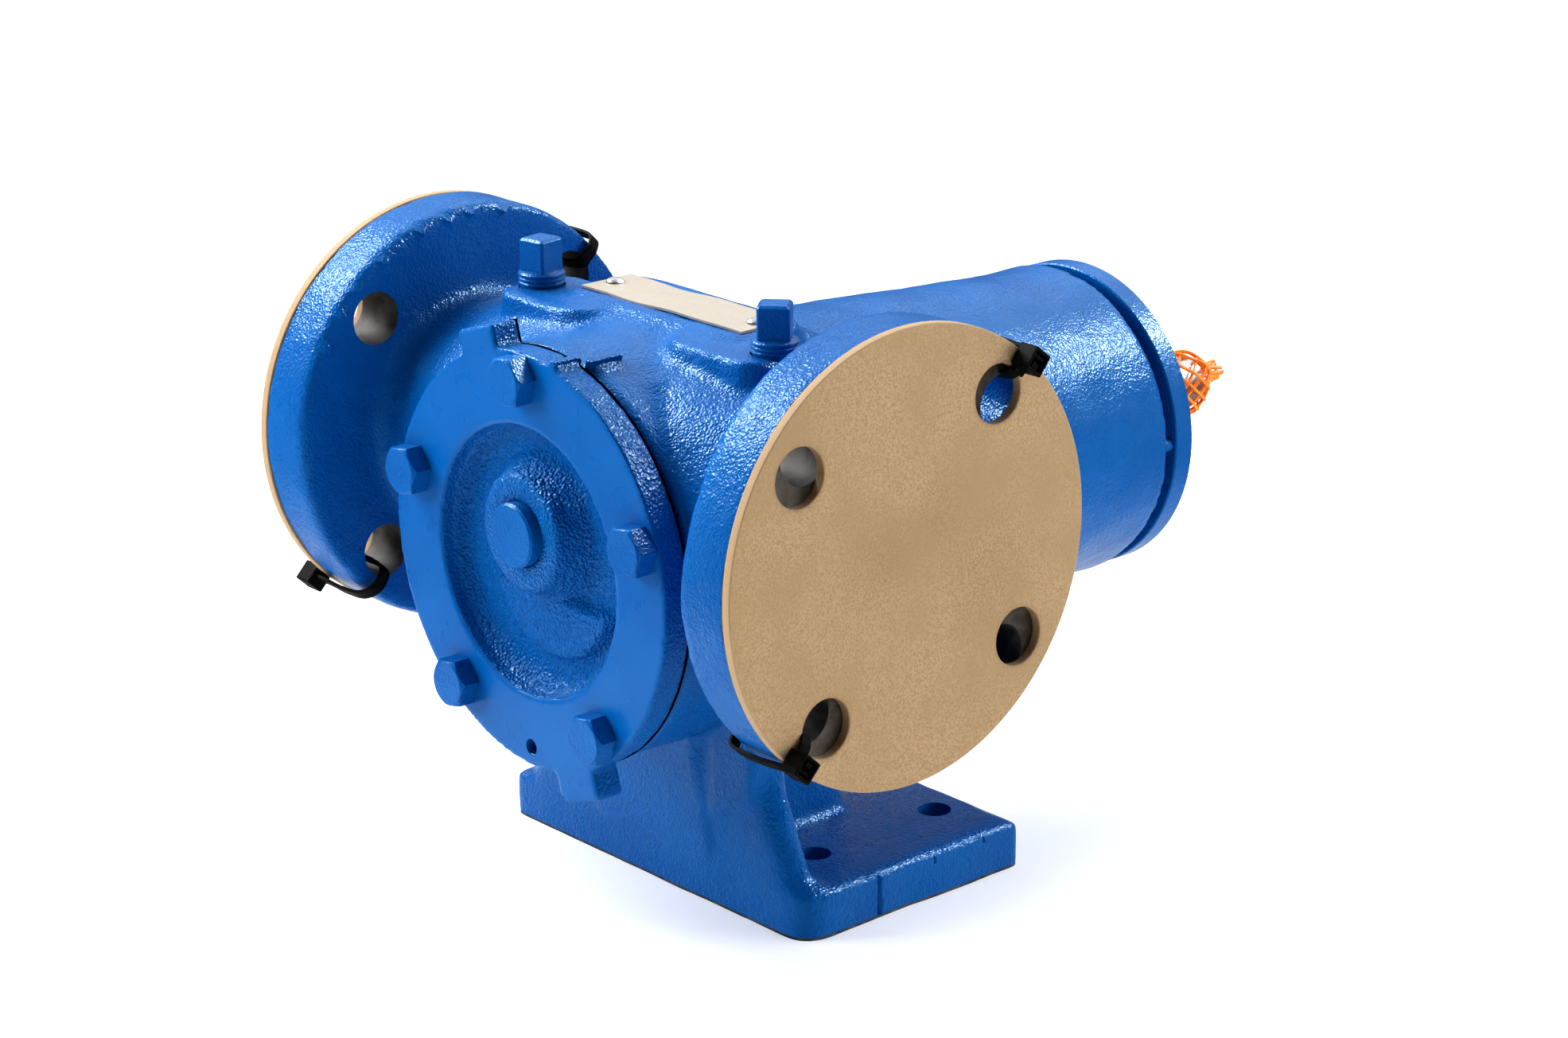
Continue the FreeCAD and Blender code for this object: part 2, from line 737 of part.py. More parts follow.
def idler_gear():
    """Idler that runs on the fixed pin inside the rotor."""
    y1 = finger_start_y + finger_length - side_gap
    blank = ring(idler_diameter / 2, idler_pin_diameter / 2 + idler_bushing_wall + seat_gap,
                 finger_start_y, y1, pin_z)
    spaces = [idler_space(360.0 * k / idler_teeth) for k in range(idler_teeth)]
    return blank.cut(Part.makeCompound(spaces))


def idler_bushing():
    """Carbon bush pressed in the idler, running on the pin."""
    inner = idler_pin_diameter / 2 + running_gap
    return ring(idler_pin_diameter / 2 + idler_bushing_wall, inner, finger_start_y + bushing_inset,
                finger_start_y + finger_length - side_gap - bushing_inset, pin_z)


def idler_pin():
    """Fixed pin, pressed in the head's boss."""
    y0 = head_face_y - pin_proud
    y1 = plate_front_y - side_gap - pin_setback
    r = idler_pin_diameter / 2
    return turned([(y0, 0), (y0, r - pin_edge), (y0 + pin_edge, r), (y1 - pin_edge, r), (y1, r - pin_edge),
                   (y1, 0)], pin_z)


def shaft():
    """Stepped drive shaft with its keyway."""
    r0 = shaft_diameter / 2
    r1 = shaft_bearing_diameter / 2
    r2 = shaft_thread_diameter / 2
    r3 = shaft_seal_diameter / 2
    r4 = shaft_end_diameter / 2
    thread_end = bearing_back_y + lock_washer_thickness + lock_nut_width + shaft_relief
    land_end = carrier_back_y + shaft_relief
    bar = turned([(plate_front_y, 0), (plate_front_y, r0), (bearing_y, r0), (bearing_y, r1), (bearing_back_y, r1),
                  (bearing_back_y, r2), (thread_end, r2), (thread_end, r3), (land_end, r3), (land_end, r4),
                  (shaft_end_y - shaft_end_chamfer, r4), (shaft_end_y, r4 - shaft_end_chamfer),
                  (shaft_end_y, 0)])
    slot = box(-keyway_width / 2, keyway_width / 2, shaft_end_y - keyway_length, shaft_end_y + over,
               shaft_z + r4 - keyway_depth, shaft_z + r4 + over)
    return bar.cut(slot)


def shaft_bushing():
    """Carbon bush behind the rotor."""
    return ring(bushing_outer / 2, shaft_diameter / 2 + running_gap, chamber_end_y + side_gap, bushing_end_y)


# Shaft seal

def seal_gland():
    """Plate that closes the seal chamber and holds the fixed seat."""
    r_hole = shaft_diameter / 2 + gland_shaft_gap
    body = ring(gland_diameter / 2, r_hole, seal_end_y, gland_back_y)
    cuts = [cylinder(seal_seat_outer / 2 + seat_gap, seal_end_y - over,
                     seal_end_y + seal_seat_length - seal_seat_stand)]
    for x, z in on_circle(gland_bolt_circle, gland_bolt_count, 45):
        cuts.append(cylinder(gland_bolt_diameter / 2 + thread_gap, seal_end_y - over, gland_back_y + over, z, x))
    return body.cut(Part.makeCompound(cuts))


def gland_screws():
    """Hexagon screws of the gland plate."""
    screws = []
    for x, z in on_circle(gland_bolt_circle, gland_bolt_count, 45):
        head_shape = hexagon(gland_bolt_flats, gland_back_y, gland_back_y + gland_bolt_head, x, z)
        shank = cylinder(gland_bolt_diameter / 2, seal_end_y - gland_bolt_bite, gland_back_y + over, z, x)
        screws.append(head_shape.fuse(shank).removeSplitter())
    return Part.makeCompound(screws)


def seal_seat():
    """Fixed seal face, held in a rubber cup in the gland."""
    outer = seal_seat_outer / 2 - seal_cup_wall
    return ring(outer, shaft_diameter / 2 + seal_shaft_gap, seal_end_y - seal_seat_stand,
                seal_end_y + seal_seat_length - seal_seat_stand - seal_cup_wall)


def seal_seat_cup():
    """Rubber cup between the fixed seat and the gland."""
    outer = seal_seat_outer / 2
    y1 = seal_end_y + seal_seat_length - seal_seat_stand
    y_in = y1 - seal_cup_wall
    inner = shaft_diameter / 2 + seal_cup_gap
    return turned([(seal_end_y, outer), (seal_end_y, outer - seal_cup_wall), (y_in, outer - seal_cup_wall),
                   (y_in, inner), (y1, inner), (y1, outer)])


def seal_face_ring():
    """Carbon ring that turns with the shaft against the fixed seat."""
    y1 = seal_end_y - seal_seat_stand - seat_gap
    y0 = y1 - seal_ring_length
    y_nose = y1 - seal_nose_length
    inner = shaft_diameter / 2 + seal_shaft_gap
    outer = seal_ring_outer / 2
    return turned([(y0, inner), (y0, outer), (y_nose, outer), (y_nose, outer - seal_nose_step),
                   (y1, outer - seal_nose_step), (y1, inner)])


def seal_bellows():
    """Rubber bellows that carries the carbon ring on the shaft."""
    y1 = seal_end_y - seal_seat_stand - seat_gap - seal_ring_length
    y0 = y1 - bellows_length
    y_in = y1 - bellows_wall
    grip = shaft_diameter / 2 + seat_gap
    outer = seal_ring_outer / 2
    return turned([(y0, grip), (y0, grip + bellows_wall), (y_in, grip + bellows_wall), (y_in, outer), (y1, outer),
                   (y1, grip)])


def seal_collar():
    """Steel collar on the shaft that the seal's spring pushes from."""
    y0 = bushing_end_y + seal_collar_gap
    return ring(shaft_diameter / 2 + seal_collar_wall, shaft_diameter / 2 + seat_gap, y0, y0 + seal_collar_length)


def seal_spring():
    """Square-wire coil spring between the collar and the bellows."""
    y0 = bushing_end_y + seal_collar_gap + seal_collar_length
    y1 = seal_end_y - seal_seat_stand - seat_gap - seal_ring_length - bellows_wall
    radius = shaft_diameter / 2 + spring_stand
    half = spring_wire / 2
    length = y1 - y0 - 2 * half - 2 * spring_gap
    helix = Part.makeHelix(length / spring_turns, length, radius)
    section = [V(radius - half, 0, -half), V(radius + half, 0, -half), V(radius + half, 0, half),
               V(radius - half, 0, half)]
    coil = Part.Wire(helix).makePipeShell([Part.makePolygon(section + [section[0]])], True, True)
    coil.rotate(V(0, 0, 0), X_AXIS, -90)
    coil.translate(V(0, y0 + half + spring_gap, shaft_z))
    return coil


# Bearing end

def roller_line(row, along):
    """(y, radius) on the axis line of a roller, at a distance along it from its middle.

    Row is -1 for the front row and 1 for the rear one. The rollers lean so that both rows' small ends meet
    in the middle of the bearing.
    """
    slope = math.radians(roller_slope)
    middle = bearing_middle_y + row * bearing_row_width / 2
    return middle + row * along * math.cos(slope), bearing_pitch / 2 + along * math.sin(slope)


def roller_radius(along):
    """Radius of a tapered roller at a distance from its middle."""
    apex = bearing_pitch / 2 / math.sin(math.radians(roller_slope))
    return (apex + along) * math.tan(math.radians(roller_half_angle))


def race_radius(row, y, outer):
    """Radius of the outer or inner raceway of one row at a place along the shaft."""
    angle = math.radians(roller_slope + (roller_half_angle if outer else -roller_half_angle))
    apex = bearing_pitch / 2 / math.tan(math.radians(roller_slope))
    middle = bearing_middle_y + row * bearing_row_width / 2
    gap = running_gap if outer else -running_gap
    return (apex + row * (y - middle)) * math.tan(angle) + gap


def bearing_cup():
    """Outer race of both rows in one piece, with a raceway that opens towards each end."""
    outer = bearing_outer / 2
    y0 = bearing_y
    y1 = bearing_back_y
    middle = bearing_middle_y
    return turned([(y0, outer), (y0, race_radius(-1, y0, True)), (middle, race_radius(-1, middle, True)),
                   (y1, race_radius(1, y1, True)), (y1, outer)])


def bearing_cone(row):
    """Inner race of one row, with the ribs that guide its rollers."""
    inner = shaft_bearing_diameter / 2 + seat_gap
    reach = roller_length / 2 + running_gap
    small_y, small_r = roller_line(row, -reach)
    large_y, large_r = roller_line(row, reach)
    middle = bearing_middle_y + row * side_gap / 2
    end = bearing_middle_y + row * bearing_row_width
    small_y -= row * side_gap
    large_y += row * roller_end_gap
    small_race = race_radius(row, small_y, False)
    large_race = race_radius(row, large_y, False)
    return turned([(middle, inner), (middle, small_race + small_rib), (small_y, small_race + small_rib),
                   (small_y, small_race), (large_y, large_race), (large_y, large_race + large_rib),
                   (end, large_race + large_rib), (end, inner)])


def bearing_rollers(row):
    """Tapered rollers of one row."""
    half = roller_length / 2
    rollers = []
    start_y, start_r = roller_line(row, -half)
    slope = math.radians(roller_slope)
    axis = V(0, row * math.cos(slope), math.sin(slope))
    for k in range(roller_count):
        roller = Part.makeCone(roller_radius(-half), roller_radius(half), roller_length,
                               V(0, start_y, shaft_z + start_r), axis)
        rollers.append(around(roller, 360.0 * k / roller_count))
    return Part.makeCompound(rollers)


def bearing_cage(row):
    """Sheet cage that keeps one row's rollers apart, with a tapered window for each roller."""
    half = roller_length / 2 + cage_rim
    y0, r0 = roller_line(row, -half)
    y1, r1 = roller_line(row, half)
    wall = cage_thickness / 2
    body = turned([(y0, r0 - wall), (y0, r0 + wall), (y1, r1 + wall), (y1, r1 - wall)])
    slope = math.radians(roller_slope)
    outwards = V(0, -row * math.sin(slope), math.cos(slope))
    reach = roller_length / 2 + side_gap
    corners = []
    for along, side in ((-reach, -1), (-reach, 1), (reach, 1), (reach, -1)):
        y, r = roller_line(row, along)
        corners.append(V(side * (roller_radius(along) + side_gap), y, shaft_z + r) - outwards * cage_thickness)
    window = Part.Face(Part.makePolygon(corners + [corners[0]])).extrude(outwards * 2 * cage_thickness)
    windows = [around(window, 360.0 * k / roller_count) for k in range(roller_count)]
    return body.cut(Part.makeCompound(windows))


def bearing_carrier():
    """Round carrier screwed into the drum, with the flange that shows behind the drum."""
    r_spigot = drum_bore / 2
    r_flange = carrier_diameter / 2
    body = turned([(carrier_front_y, 0), (carrier_front_y, r_spigot - carrier_edge),
                   (carrier_front_y + carrier_edge, r_spigot), (carrier_flange_y, r_spigot),
                   (carrier_flange_y, r_flange - carrier_front_edge),
                   (carrier_flange_y + carrier_front_edge, r_flange), (carrier_back_y - carrier_edge, r_flange),
                   (carrier_back_y, r_flange - carrier_edge), (carrier_back_y, 0)])
    cuts = [
        cylinder(lip_seal_outer / 2 + seat_gap, carrier_front_y - over, carrier_front_y + lip_seal_width),
        cylinder(carrier_inner_shoulder / 2, carrier_front_y, bearing_y + over),
        cylinder(bearing_outer / 2 + seat_gap, bearing_y, bearing_back_y + over),
        cylinder(cap_outer / 2 + thread_gap, bearing_back_y, carrier_back_y + over),
    ]
    for x, z in on_circle(set_screw_circle, 2, 0):
        cuts.append(cylinder(set_screw_diameter / 2 + thread_gap, carrier_flange_y - over, carrier_back_y + over,
                             z, x))
    return body.cut(Part.makeCompound(cuts))


def inner_lip_seal():
    """Lip seal on the inner side of the bearing."""
    return lip_seal(carrier_front_y, lip_seal_outer / 2, shaft_diameter / 2)


def lip_seal(y0, outer, shaft_radius):
    """Rubber lip seal with a cased outer wall and a sloping lip."""
    y1 = y0 + lip_seal_width
    y_case = y1 - seal_case_lip
    bore = shaft_radius + running_gap
    return turned([(y0, outer), (y0, bore + lip_slope), (y0 + lip_slope, bore + lip_rise), (y1 - lip_slope, bore),
                   (y_case, bore), (y_case, outer - seal_case), (y1, outer - seal_case), (y1, outer)])


def lock_washer():
    """Tabbed washer against the inner race."""
    return ring(lock_nut_outer / 2, shaft_thread_diameter / 2 + seat_gap, bearing_back_y,
                bearing_back_y + lock_washer_thickness)


def lock_nut():
    """Slotted nut that clamps the inner race on the shaft."""
    y0 = bearing_back_y + lock_washer_thickness
    body = ring(lock_nut_outer / 2, shaft_thread_diameter / 2 + seat_gap, y0, y0 + lock_nut_width)
    half = lock_nut_notch_width / 2
    rim = shaft_z + lock_nut_outer / 2
    notch = box(-half, half, y0 - over, y0 + lock_nut_width + over, rim - lock_nut_notch_depth, rim + over)
    slots = [around(notch, 360.0 * k / lock_nut_notches) for k in range(lock_nut_notches)]
    return body.cut(Part.makeCompound(slots))


def bearing_end_cap():
    """Cap screwed into the carrier; it holds the outer race and the outer lip seal."""
    outer = cap_outer / 2
    land = bearing_outer / 2 - cap_land
    y1 = carrier_back_y
    y_in = y1 - lip_seal_width - cap_shoulder
    hole = shaft_seal_diameter / 2 + cap_shaft_gap
    body = turned([(bearing_back_y, land), (bearing_back_y, outer), (y1 - cap_edge, outer), (y1, outer - cap_edge),
                   (y1, hole), (y_in, hole), (y_in, land)])
    cuts = [cylinder(outer_lip_seal_outer / 2 + seat_gap, y1 - lip_seal_width, y1 + over)]
    for x, z in on_circle(cap_pin_circle, 2, 0):
        cuts.append(cylinder(cap_pin_diameter / 2, y1 - cap_pin_depth, y1 + over, z, x))
    return body.cut(Part.makeCompound(cuts))


def outer_lip_seal():
    """Lip seal in the end cap."""
    return lip_seal(carrier_back_y - lip_seal_width, outer_lip_seal_outer / 2, shaft_seal_diameter / 2)


def carrier_set_screws():
    """Set screws through the carrier's flange that press on the drum's end."""
    screws = []
    for x, z in on_circle(set_screw_circle, 2, 0):
        top = carrier_back_y - set_screw_drop
        screw = cylinder(set_screw_diameter / 2, drum_end_y, top, z, x)
        socket = hexagon(set_screw_socket, top - set_screw_socket_depth, top + over, x, z)
        screws.append(screw.cut(socket))
    return Part.makeCompound(screws)


# Small parts on top

def pipe_plug(side):
    """Square-head pipe plug in the boss of one port."""
    base = shaft_z + shelf_height
    x = side * plug_offset
    r = plug_thread_diameter / 2
    thread = Part.makeCylinder(r, plug_thread_bite + plug_thread_show, V(x, port_y, base - plug_thread_bite))
    half = plug_square / 2
    z0 = base + plug_thread_show
    square = Part.makeBox(plug_square, plug_square, plug_square_height, V(x - half, port_y - half, z0))
    square = square.makeFillet(plug_corner, upright_edges(square))
    square.rotate(V(x, port_y, 0), Z_AXIS, left_plug_turn if side < 0 else right_plug_turn)
    return thread.fuse(square).removeSplitter()


def plate_y():
    """Y place of the plate's middle."""
    return port_y + (pad_front + pad_back) / 2


def plate_screw_places():
    """X places of the plate's two drive screws."""
    return plate_screw_inset - plate_length / 2, plate_length / 2 - plate_screw_inset


def name_plate():
    """Bare metal plate on the pad."""
    z = shaft_z + pad_height
    plate = box(-plate_length / 2, plate_length / 2, plate_y() - plate_width / 2,
                plate_y() + plate_width / 2, z, z + plate_thickness)
    holes = [Part.makeCylinder(drive_screw_shank / 2 + seat_gap, plate_thickness + 2 * over,
                               V(x, plate_y(), z - over), Z_AXIS) for x in plate_screw_places()]
    return plate.cut(Part.makeCompound(holes))


def plate_screws():
    """Drive screws of the plate."""
    z = shaft_z + pad_height + plate_thickness
    screws = []
    for x in plate_screw_places():
        dome = Part.makeCone(drive_screw_head / 2, drive_screw_head / 4, drive_screw_height,
                             V(x, plate_y(), z), Z_AXIS)
        shank = Part.makeCylinder(drive_screw_shank / 2, drive_screw_bite + plate_thickness,
                                  V(x, plate_y(), z - drive_screw_bite - plate_thickness), Z_AXIS)
        screws.append(dome.fuse(shank))
    return Part.makeCompound(screws)


def main():
    """Build and save every piece."""
    os.makedirs("parts", exist_ok=True)
    write("casing", casing())
    write("head", head())
    write("head_gasket", head_gasket())
    write("head_capscrews", head_capscrews())
    write("rotor", rotor())
    write("idler_gear", idler_gear())
    write("idler_bushing", idler_bushing())
    write("idler_pin", idler_pin())
    write("shaft", shaft())
    write("shaft_bushing", shaft_bushing())
    write("seal_gland", seal_gland())
    write("gland_screws", gland_screws())
    write("seal_seat", seal_seat())
    write("seal_seat_cup", seal_seat_cup())
    write("seal_face_ring", seal_face_ring())
    write("seal_bellows", seal_bellows())
    write("seal_spring", seal_spring())
    write("seal_collar", seal_collar())
    write("bearing_cup", bearing_cup())
    for row, place in ((-1, "front"), (1, "rear")):
        write(place + "_bearing_cone", bearing_cone(row))
        write(place + "_bearing_rollers", bearing_rollers(row))
        write(place + "_bearing_cage", bearing_cage(row))
    write("bearing_carrier", bearing_carrier())
    write("inner_lip_seal", inner_lip_seal())
    write("lock_washer", lock_washer())
    write("lock_nut", lock_nut())
    write("bearing_end_cap", bearing_end_cap())
    write("outer_lip_seal", outer_lip_seal())
    write("carrier_set_screws", carrier_set_screws())
    write("left_pipe_plug", pipe_plug(-1))
    write("right_pipe_plug", pipe_plug(1))
    write("name_plate", name_plate())
    write("plate_screws", plate_screws())
    write("left_port_cover", port_cover(-1))
    write("right_port_cover", port_cover(1))


main()
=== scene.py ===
"""Looks of an internal gear pump: finishes, dressed pieces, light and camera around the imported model.

Lengths are in metres. +Y runs along the drive shaft, the ports open along X and +Z is up.
"""

import logging
import math
from collections.abc import Callable, Iterable, Sequence
from dataclasses import dataclass
from enum import Enum
from functools import cache

import bmesh
import bpy
from mathutils import Matrix, Vector
from mathutils.geometry import interpolate_bezier


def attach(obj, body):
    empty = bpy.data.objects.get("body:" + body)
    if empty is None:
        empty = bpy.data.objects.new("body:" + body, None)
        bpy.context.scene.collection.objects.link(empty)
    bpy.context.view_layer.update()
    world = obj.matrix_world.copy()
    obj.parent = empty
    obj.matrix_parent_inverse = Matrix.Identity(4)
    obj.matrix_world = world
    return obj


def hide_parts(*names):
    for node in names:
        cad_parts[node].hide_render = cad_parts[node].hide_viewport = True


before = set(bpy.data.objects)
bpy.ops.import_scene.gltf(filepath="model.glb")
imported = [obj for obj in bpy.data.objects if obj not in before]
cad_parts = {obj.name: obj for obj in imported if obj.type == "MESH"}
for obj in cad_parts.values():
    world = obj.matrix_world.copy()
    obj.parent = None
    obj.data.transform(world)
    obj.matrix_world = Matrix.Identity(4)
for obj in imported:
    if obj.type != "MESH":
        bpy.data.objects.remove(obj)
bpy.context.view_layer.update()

LOG = logging.getLogger("pump_looks")
HOUSING = "pump_housing"
SHAFT_BODY = "rotor_and_shaft"
SHAFT_Z = 0.1284
PORT_Y = -0.0519
PORT_Z = 0.1473
SHAFT_LINE = (0.0, 0.0, SHAFT_Z)
PORT_LINE = (0.0, PORT_Y, PORT_Z)
PIN_LINE = (0.0, 0.0, 0.1390)
HEAD_FACE = -0.1095
HEAD_BACK = -0.0984
CASING_FACE = -0.0976
FLANGE_FACE = 0.1231
BOLT_CIRCLE = 0.060325
SHELF_Z = 0.2024
PLUG_X = 0.0615
SAME_SPOT = 1e-6

Color = tuple[float, float, float]
Point = tuple[float, float, float]
Pair = tuple[float, float]
Socket = bpy.types.NodeSocket
Shape = bmesh.types.BMesh
Piece = bpy.types.Object


class Axis(Enum):
    """Direction that a turned shape or a round mark lies along."""

    X = "X"
    Y = "Y"
    Z = "Z"

    @property
    def vector(self) -> Vector:
        """Unit vector of the axis."""
        return Vector([float(self.value == name) for name in "XYZ"])


class Side(Enum):
    """Side of the pump, as the sign of its X."""

    LEFT = -1
    RIGHT = 1


class Lights(Enum):
    """What a lamp acts on."""

    MATTE = "matte"
    SHINY = "shiny"


class Wiring:
    """A tree of shader nodes, with short ways to add the common ones."""

    def __init__(self, tree: bpy.types.NodeTree) -> None:
        """Takes the tree to work in."""
        self.tree = tree

    def plug(self, node: bpy.types.Node, inputs: dict) -> None:
        """Sets or links inputs of a node.

        Args:
            node: The node.
            inputs: Value or source socket for each named or numbered input.
        """
        for key, value in inputs.items():
            if isinstance(value, Socket):
                self.tree.links.new(value, node.inputs[key])
            else:
                node.inputs[key].default_value = value

    def node(self, kind: str, inputs: dict | None = None, **settings: object) -> bpy.types.Node:
        """Adds one node.

        Args:
            kind: Blender's name of the node type without its first word.
            inputs: Value or source socket for each named or numbered input.
            **settings: Properties of the node itself.

        Returns:
            The new node.
        """
        made = self.tree.nodes.new("ShaderNode" + kind)
        for name, value in settings.items():
            setattr(made, name, value)
        self.plug(made, inputs or {})
        return made

    def blend(self, weight: Socket, first: Color | Socket, second: Color | Socket) -> Socket:
        """Mixes two colours by a weight."""
        sides = {key: side if isinstance(side, Socket) else (*side, 1.0) for key, side in ((6, first), (7, second))}
        return self.node("Mix", {"Factor": weight, **sides}, data_type="RGBA").outputs[2]

    def ramp(self, value: Socket, span: tuple, ends: Pair = (0.0, 1.0), soft: bool = False) -> Socket:
        """Maps the span of a value onto two ends.

        Args:
            value: What is mapped.
            span: Its low and high limit, as numbers or sockets.
            ends: Results at both limits.
            soft: Whether the way between them is a smooth step.

        Returns:
            The mapped value.
        """
        return self.node("MapRange", {"Value": value, "From Min": span[0], "From Max": span[1], "To Min": ends[0],
                                      "To Max": ends[1]},
                         interpolation_type="SMOOTHSTEP" if soft else "LINEAR").outputs["Result"]

    def reckon(self, operation: str, first: Socket, second: Socket | float) -> Socket:
        """Works out one sum of two values."""
        return self.node("Math", {0: first, 1: second}, operation=operation).outputs[0]

    def part(self, vector: Socket, axis: Axis) -> Socket:
        """Takes one coordinate out of a vector."""
        return self.node("SeparateXYZ", {"Vector": vector}).outputs[axis.value]

    def open_group(self, inputs: dict[str, str], output: str) -> tuple[bpy.types.NodeOutputs, Socket]:
        """Makes the sockets of a shared group.

        Args:
            inputs: Socket kind for each input name.
            output: Name of the one value that the group puts out.

        Returns:
            The given inputs, and the socket that takes the result.
        """
        for name, kind in inputs.items():
            self.tree.interface.new_socket(name, in_out="INPUT", socket_type="NodeSocket" + kind)
        self.tree.interface.new_socket(output, in_out="OUTPUT", socket_type="NodeSocketFloat")
        return self.tree.nodes.new("NodeGroupInput").outputs, self.tree.nodes.new("NodeGroupOutput").inputs[output]


def cast_grain(group: Wiring) -> None:
    """Fills a group: sand-cast skin under thick paint, soft lumps with finer dimples on them.

    Args:
        group: Its empty tree.
    """
    given, height = group.open_group({"Vector": "Vector", "Lumps per Metre": "Float", "Dimples per Metre": "Float",
                                      "Dimple Share": "Float"}, "Height")
    lumps = group.node("TexNoise", {"Vector": given["Vector"], "Scale": given["Lumps per Metre"], "Detail": 2.0,
                                    "Roughness": 0.45})
    dimples = group.node("TexVoronoi", {"Vector": given["Vector"], "Scale": given["Dimples per Metre"],
                                        "Smoothness": 0.6}, feature="SMOOTH_F1")
    both = group.node("Mix", {"Factor": given["Dimple Share"], 2: lumps.outputs["Fac"],
                              3: dimples.outputs["Distance"]})
    group.tree.links.new(both.outputs[0], height)


def clouds(group: Wiring) -> None:
    """Fills a group: soft uneven patches, as a mask from 0 to 1.

    Args:
        group: Its empty tree.
    """
    given, mask = group.open_group({"Vector": "Vector", "Patches per Metre": "Float", "Low": "Float",
                                    "High": "Float"}, "Mask")
    noise = group.node("TexNoise", {"Vector": given["Vector"], "Scale": given["Patches per Metre"], "Detail": 4.0,
                                    "Roughness": 0.55})
    group.tree.links.new(group.ramp(noise.outputs["Fac"], (given["Low"], given["High"]), soft=True), mask)


def round_mark(group: Wiring) -> None:
    """Fills a group: mask of 1 inside a radius round an axis and 0 outside, with a soft edge.

    Args:
        group: Its empty tree.
    """
    given, mask = group.open_group({"Vector": "Vector", "Centre": "Vector", "Across": "Vector", "Radius": "Float",
                                    "Softness": "Float"}, "Mask")
    offset = group.node("VectorMath", {0: given["Vector"], 1: given["Centre"]}, operation="SUBTRACT")
    flat = group.node("VectorMath", {0: offset.outputs[0], 1: given["Across"]}, operation="MULTIPLY")
    reach = group.node("VectorMath", {0: flat.outputs[0]}, operation="LENGTH").outputs["Value"]
    span = tuple(group.reckon(way, given["Radius"], given["Softness"]) for way in ("SUBTRACT", "ADD"))
    group.tree.links.new(group.ramp(reach, span, (1.0, 0.0), soft=True), mask)


@cache
def shared_group(fill: Callable[[Wiring], None]) -> bpy.types.NodeTree:
    """Builds a shared shader group at its first use.

    Args:
        fill: Function that fills the group and names it.

    Returns:
        The group.
    """
    tree = bpy.data.node_groups.new(fill.__name__, "ShaderNodeTree")
    fill(Wiring(tree))
    return tree


class Material(Wiring):
    """A material under way: one Principled shader and Object coordinates."""

    def __init__(self, name: str) -> None:
        """Makes the empty material.

        Args:
            name: Name of the material.
        """
        self.result = bpy.data.materials.new(name)
        self.result.use_nodes = True
        super().__init__(self.result.node_tree)
        self.shader = self.tree.nodes["Principled BSDF"]
        self.place = self.tree.nodes.new("ShaderNodeTexCoord").outputs["Object"]

    def shared(self, fill: Callable[[Wiring], None], inputs: dict) -> Socket:
        """Places a shared group on the surface and gives what it puts out."""
        return self.node("Group", {"Vector": self.place, **inputs}, node_tree=shared_group(fill)).outputs[0]

    def grain(self, lumps: float, dimples: float, share: float) -> Socket:
        """Height of cast grain."""
        return self.shared(cast_grain, {"Lumps per Metre": lumps, "Dimples per Metre": dimples, "Dimple Share": share})

    def patches(self, per_metre: float, low: float, high: float) -> Socket:
        """Mask of soft patches."""
        return self.shared(clouds, {"Patches per Metre": per_metre, "Low": low, "High": high})

    def mark(self, centre: Point, axis: Axis, radius: float, softness: float) -> Socket:
        """Mask of a round mark."""
        return self.shared(round_mark, {"Centre": centre, "Across": Vector((1, 1, 1)) - axis.vector,
                                        "Radius": radius, "Softness": softness})

    def bump(self, height: Socket, depth: float) -> None:
        """Feeds a height into the shader's normals."""
        normal = self.node("Bump", {"Height": height, "Distance": depth}).outputs["Normal"]
        self.plug(self.shader, {"Normal": normal, "Coat Normal": normal})


@dataclass(frozen=True)
class Enamel:
    """Thick gloss enamel over iron, rough where the iron is as cast."""

    depth: float = 0.00062
    lumps: float = 460.0
    dimples: float = 1150.0
    share: float = 0.42
    calm: Pair | None = None
    calm_share: float = 0.7
    dish_radius: float = 0.0
    dish_edge: float = 0.0012
    rim_start: Pair = (-0.1091, -0.1085)
    rim_share: float = 0.5
    deep: Color = (0.0002, 0.084, 0.300)
    bright: Color = (0.0003, 0.099, 0.335)
    tint: tuple[float, float, float, float] = (0.22, 0.58, 1.0, 1.0)
    roughness: Pair = (0.26, 0.4)

    def material(self, name: str) -> bpy.types.Material:
        """Builds the material.

        Args:
            name: Name of the material.

        Returns:
            The material.
        """
        paint = Material(name)
        height = paint.grain(self.lumps, self.dimples, self.share)
        if self.dish_radius:
            dish = paint.mark(SHAFT_LINE, Axis.Y, self.dish_radius, self.dish_edge)
            rim = paint.ramp(paint.part(paint.place, Axis.Y), self.rim_start, (0.0, self.rim_share))
            height = paint.reckon("MULTIPLY", height, paint.reckon("MAXIMUM", dish, rim))
        if self.calm:
            fade = paint.ramp(paint.part(paint.place, Axis.Y), self.calm, (1.0, self.calm_share))
            height = paint.reckon("MULTIPLY", height, fade)
        paint.bump(height, self.depth)
        paint.plug(paint.shader, {
            "Base Color": paint.blend(paint.patches(22.0, 0.35, 0.7), self.deep, self.bright),
            "Roughness": paint.ramp(paint.patches(90.0, 0.3, 0.8), (0.0, 1.0), self.roughness),
            "Specular IOR Level": 0.35, "Specular Tint": self.tint, "Coat Weight": 0.15, "Coat Roughness": 0.07})
        return paint.result


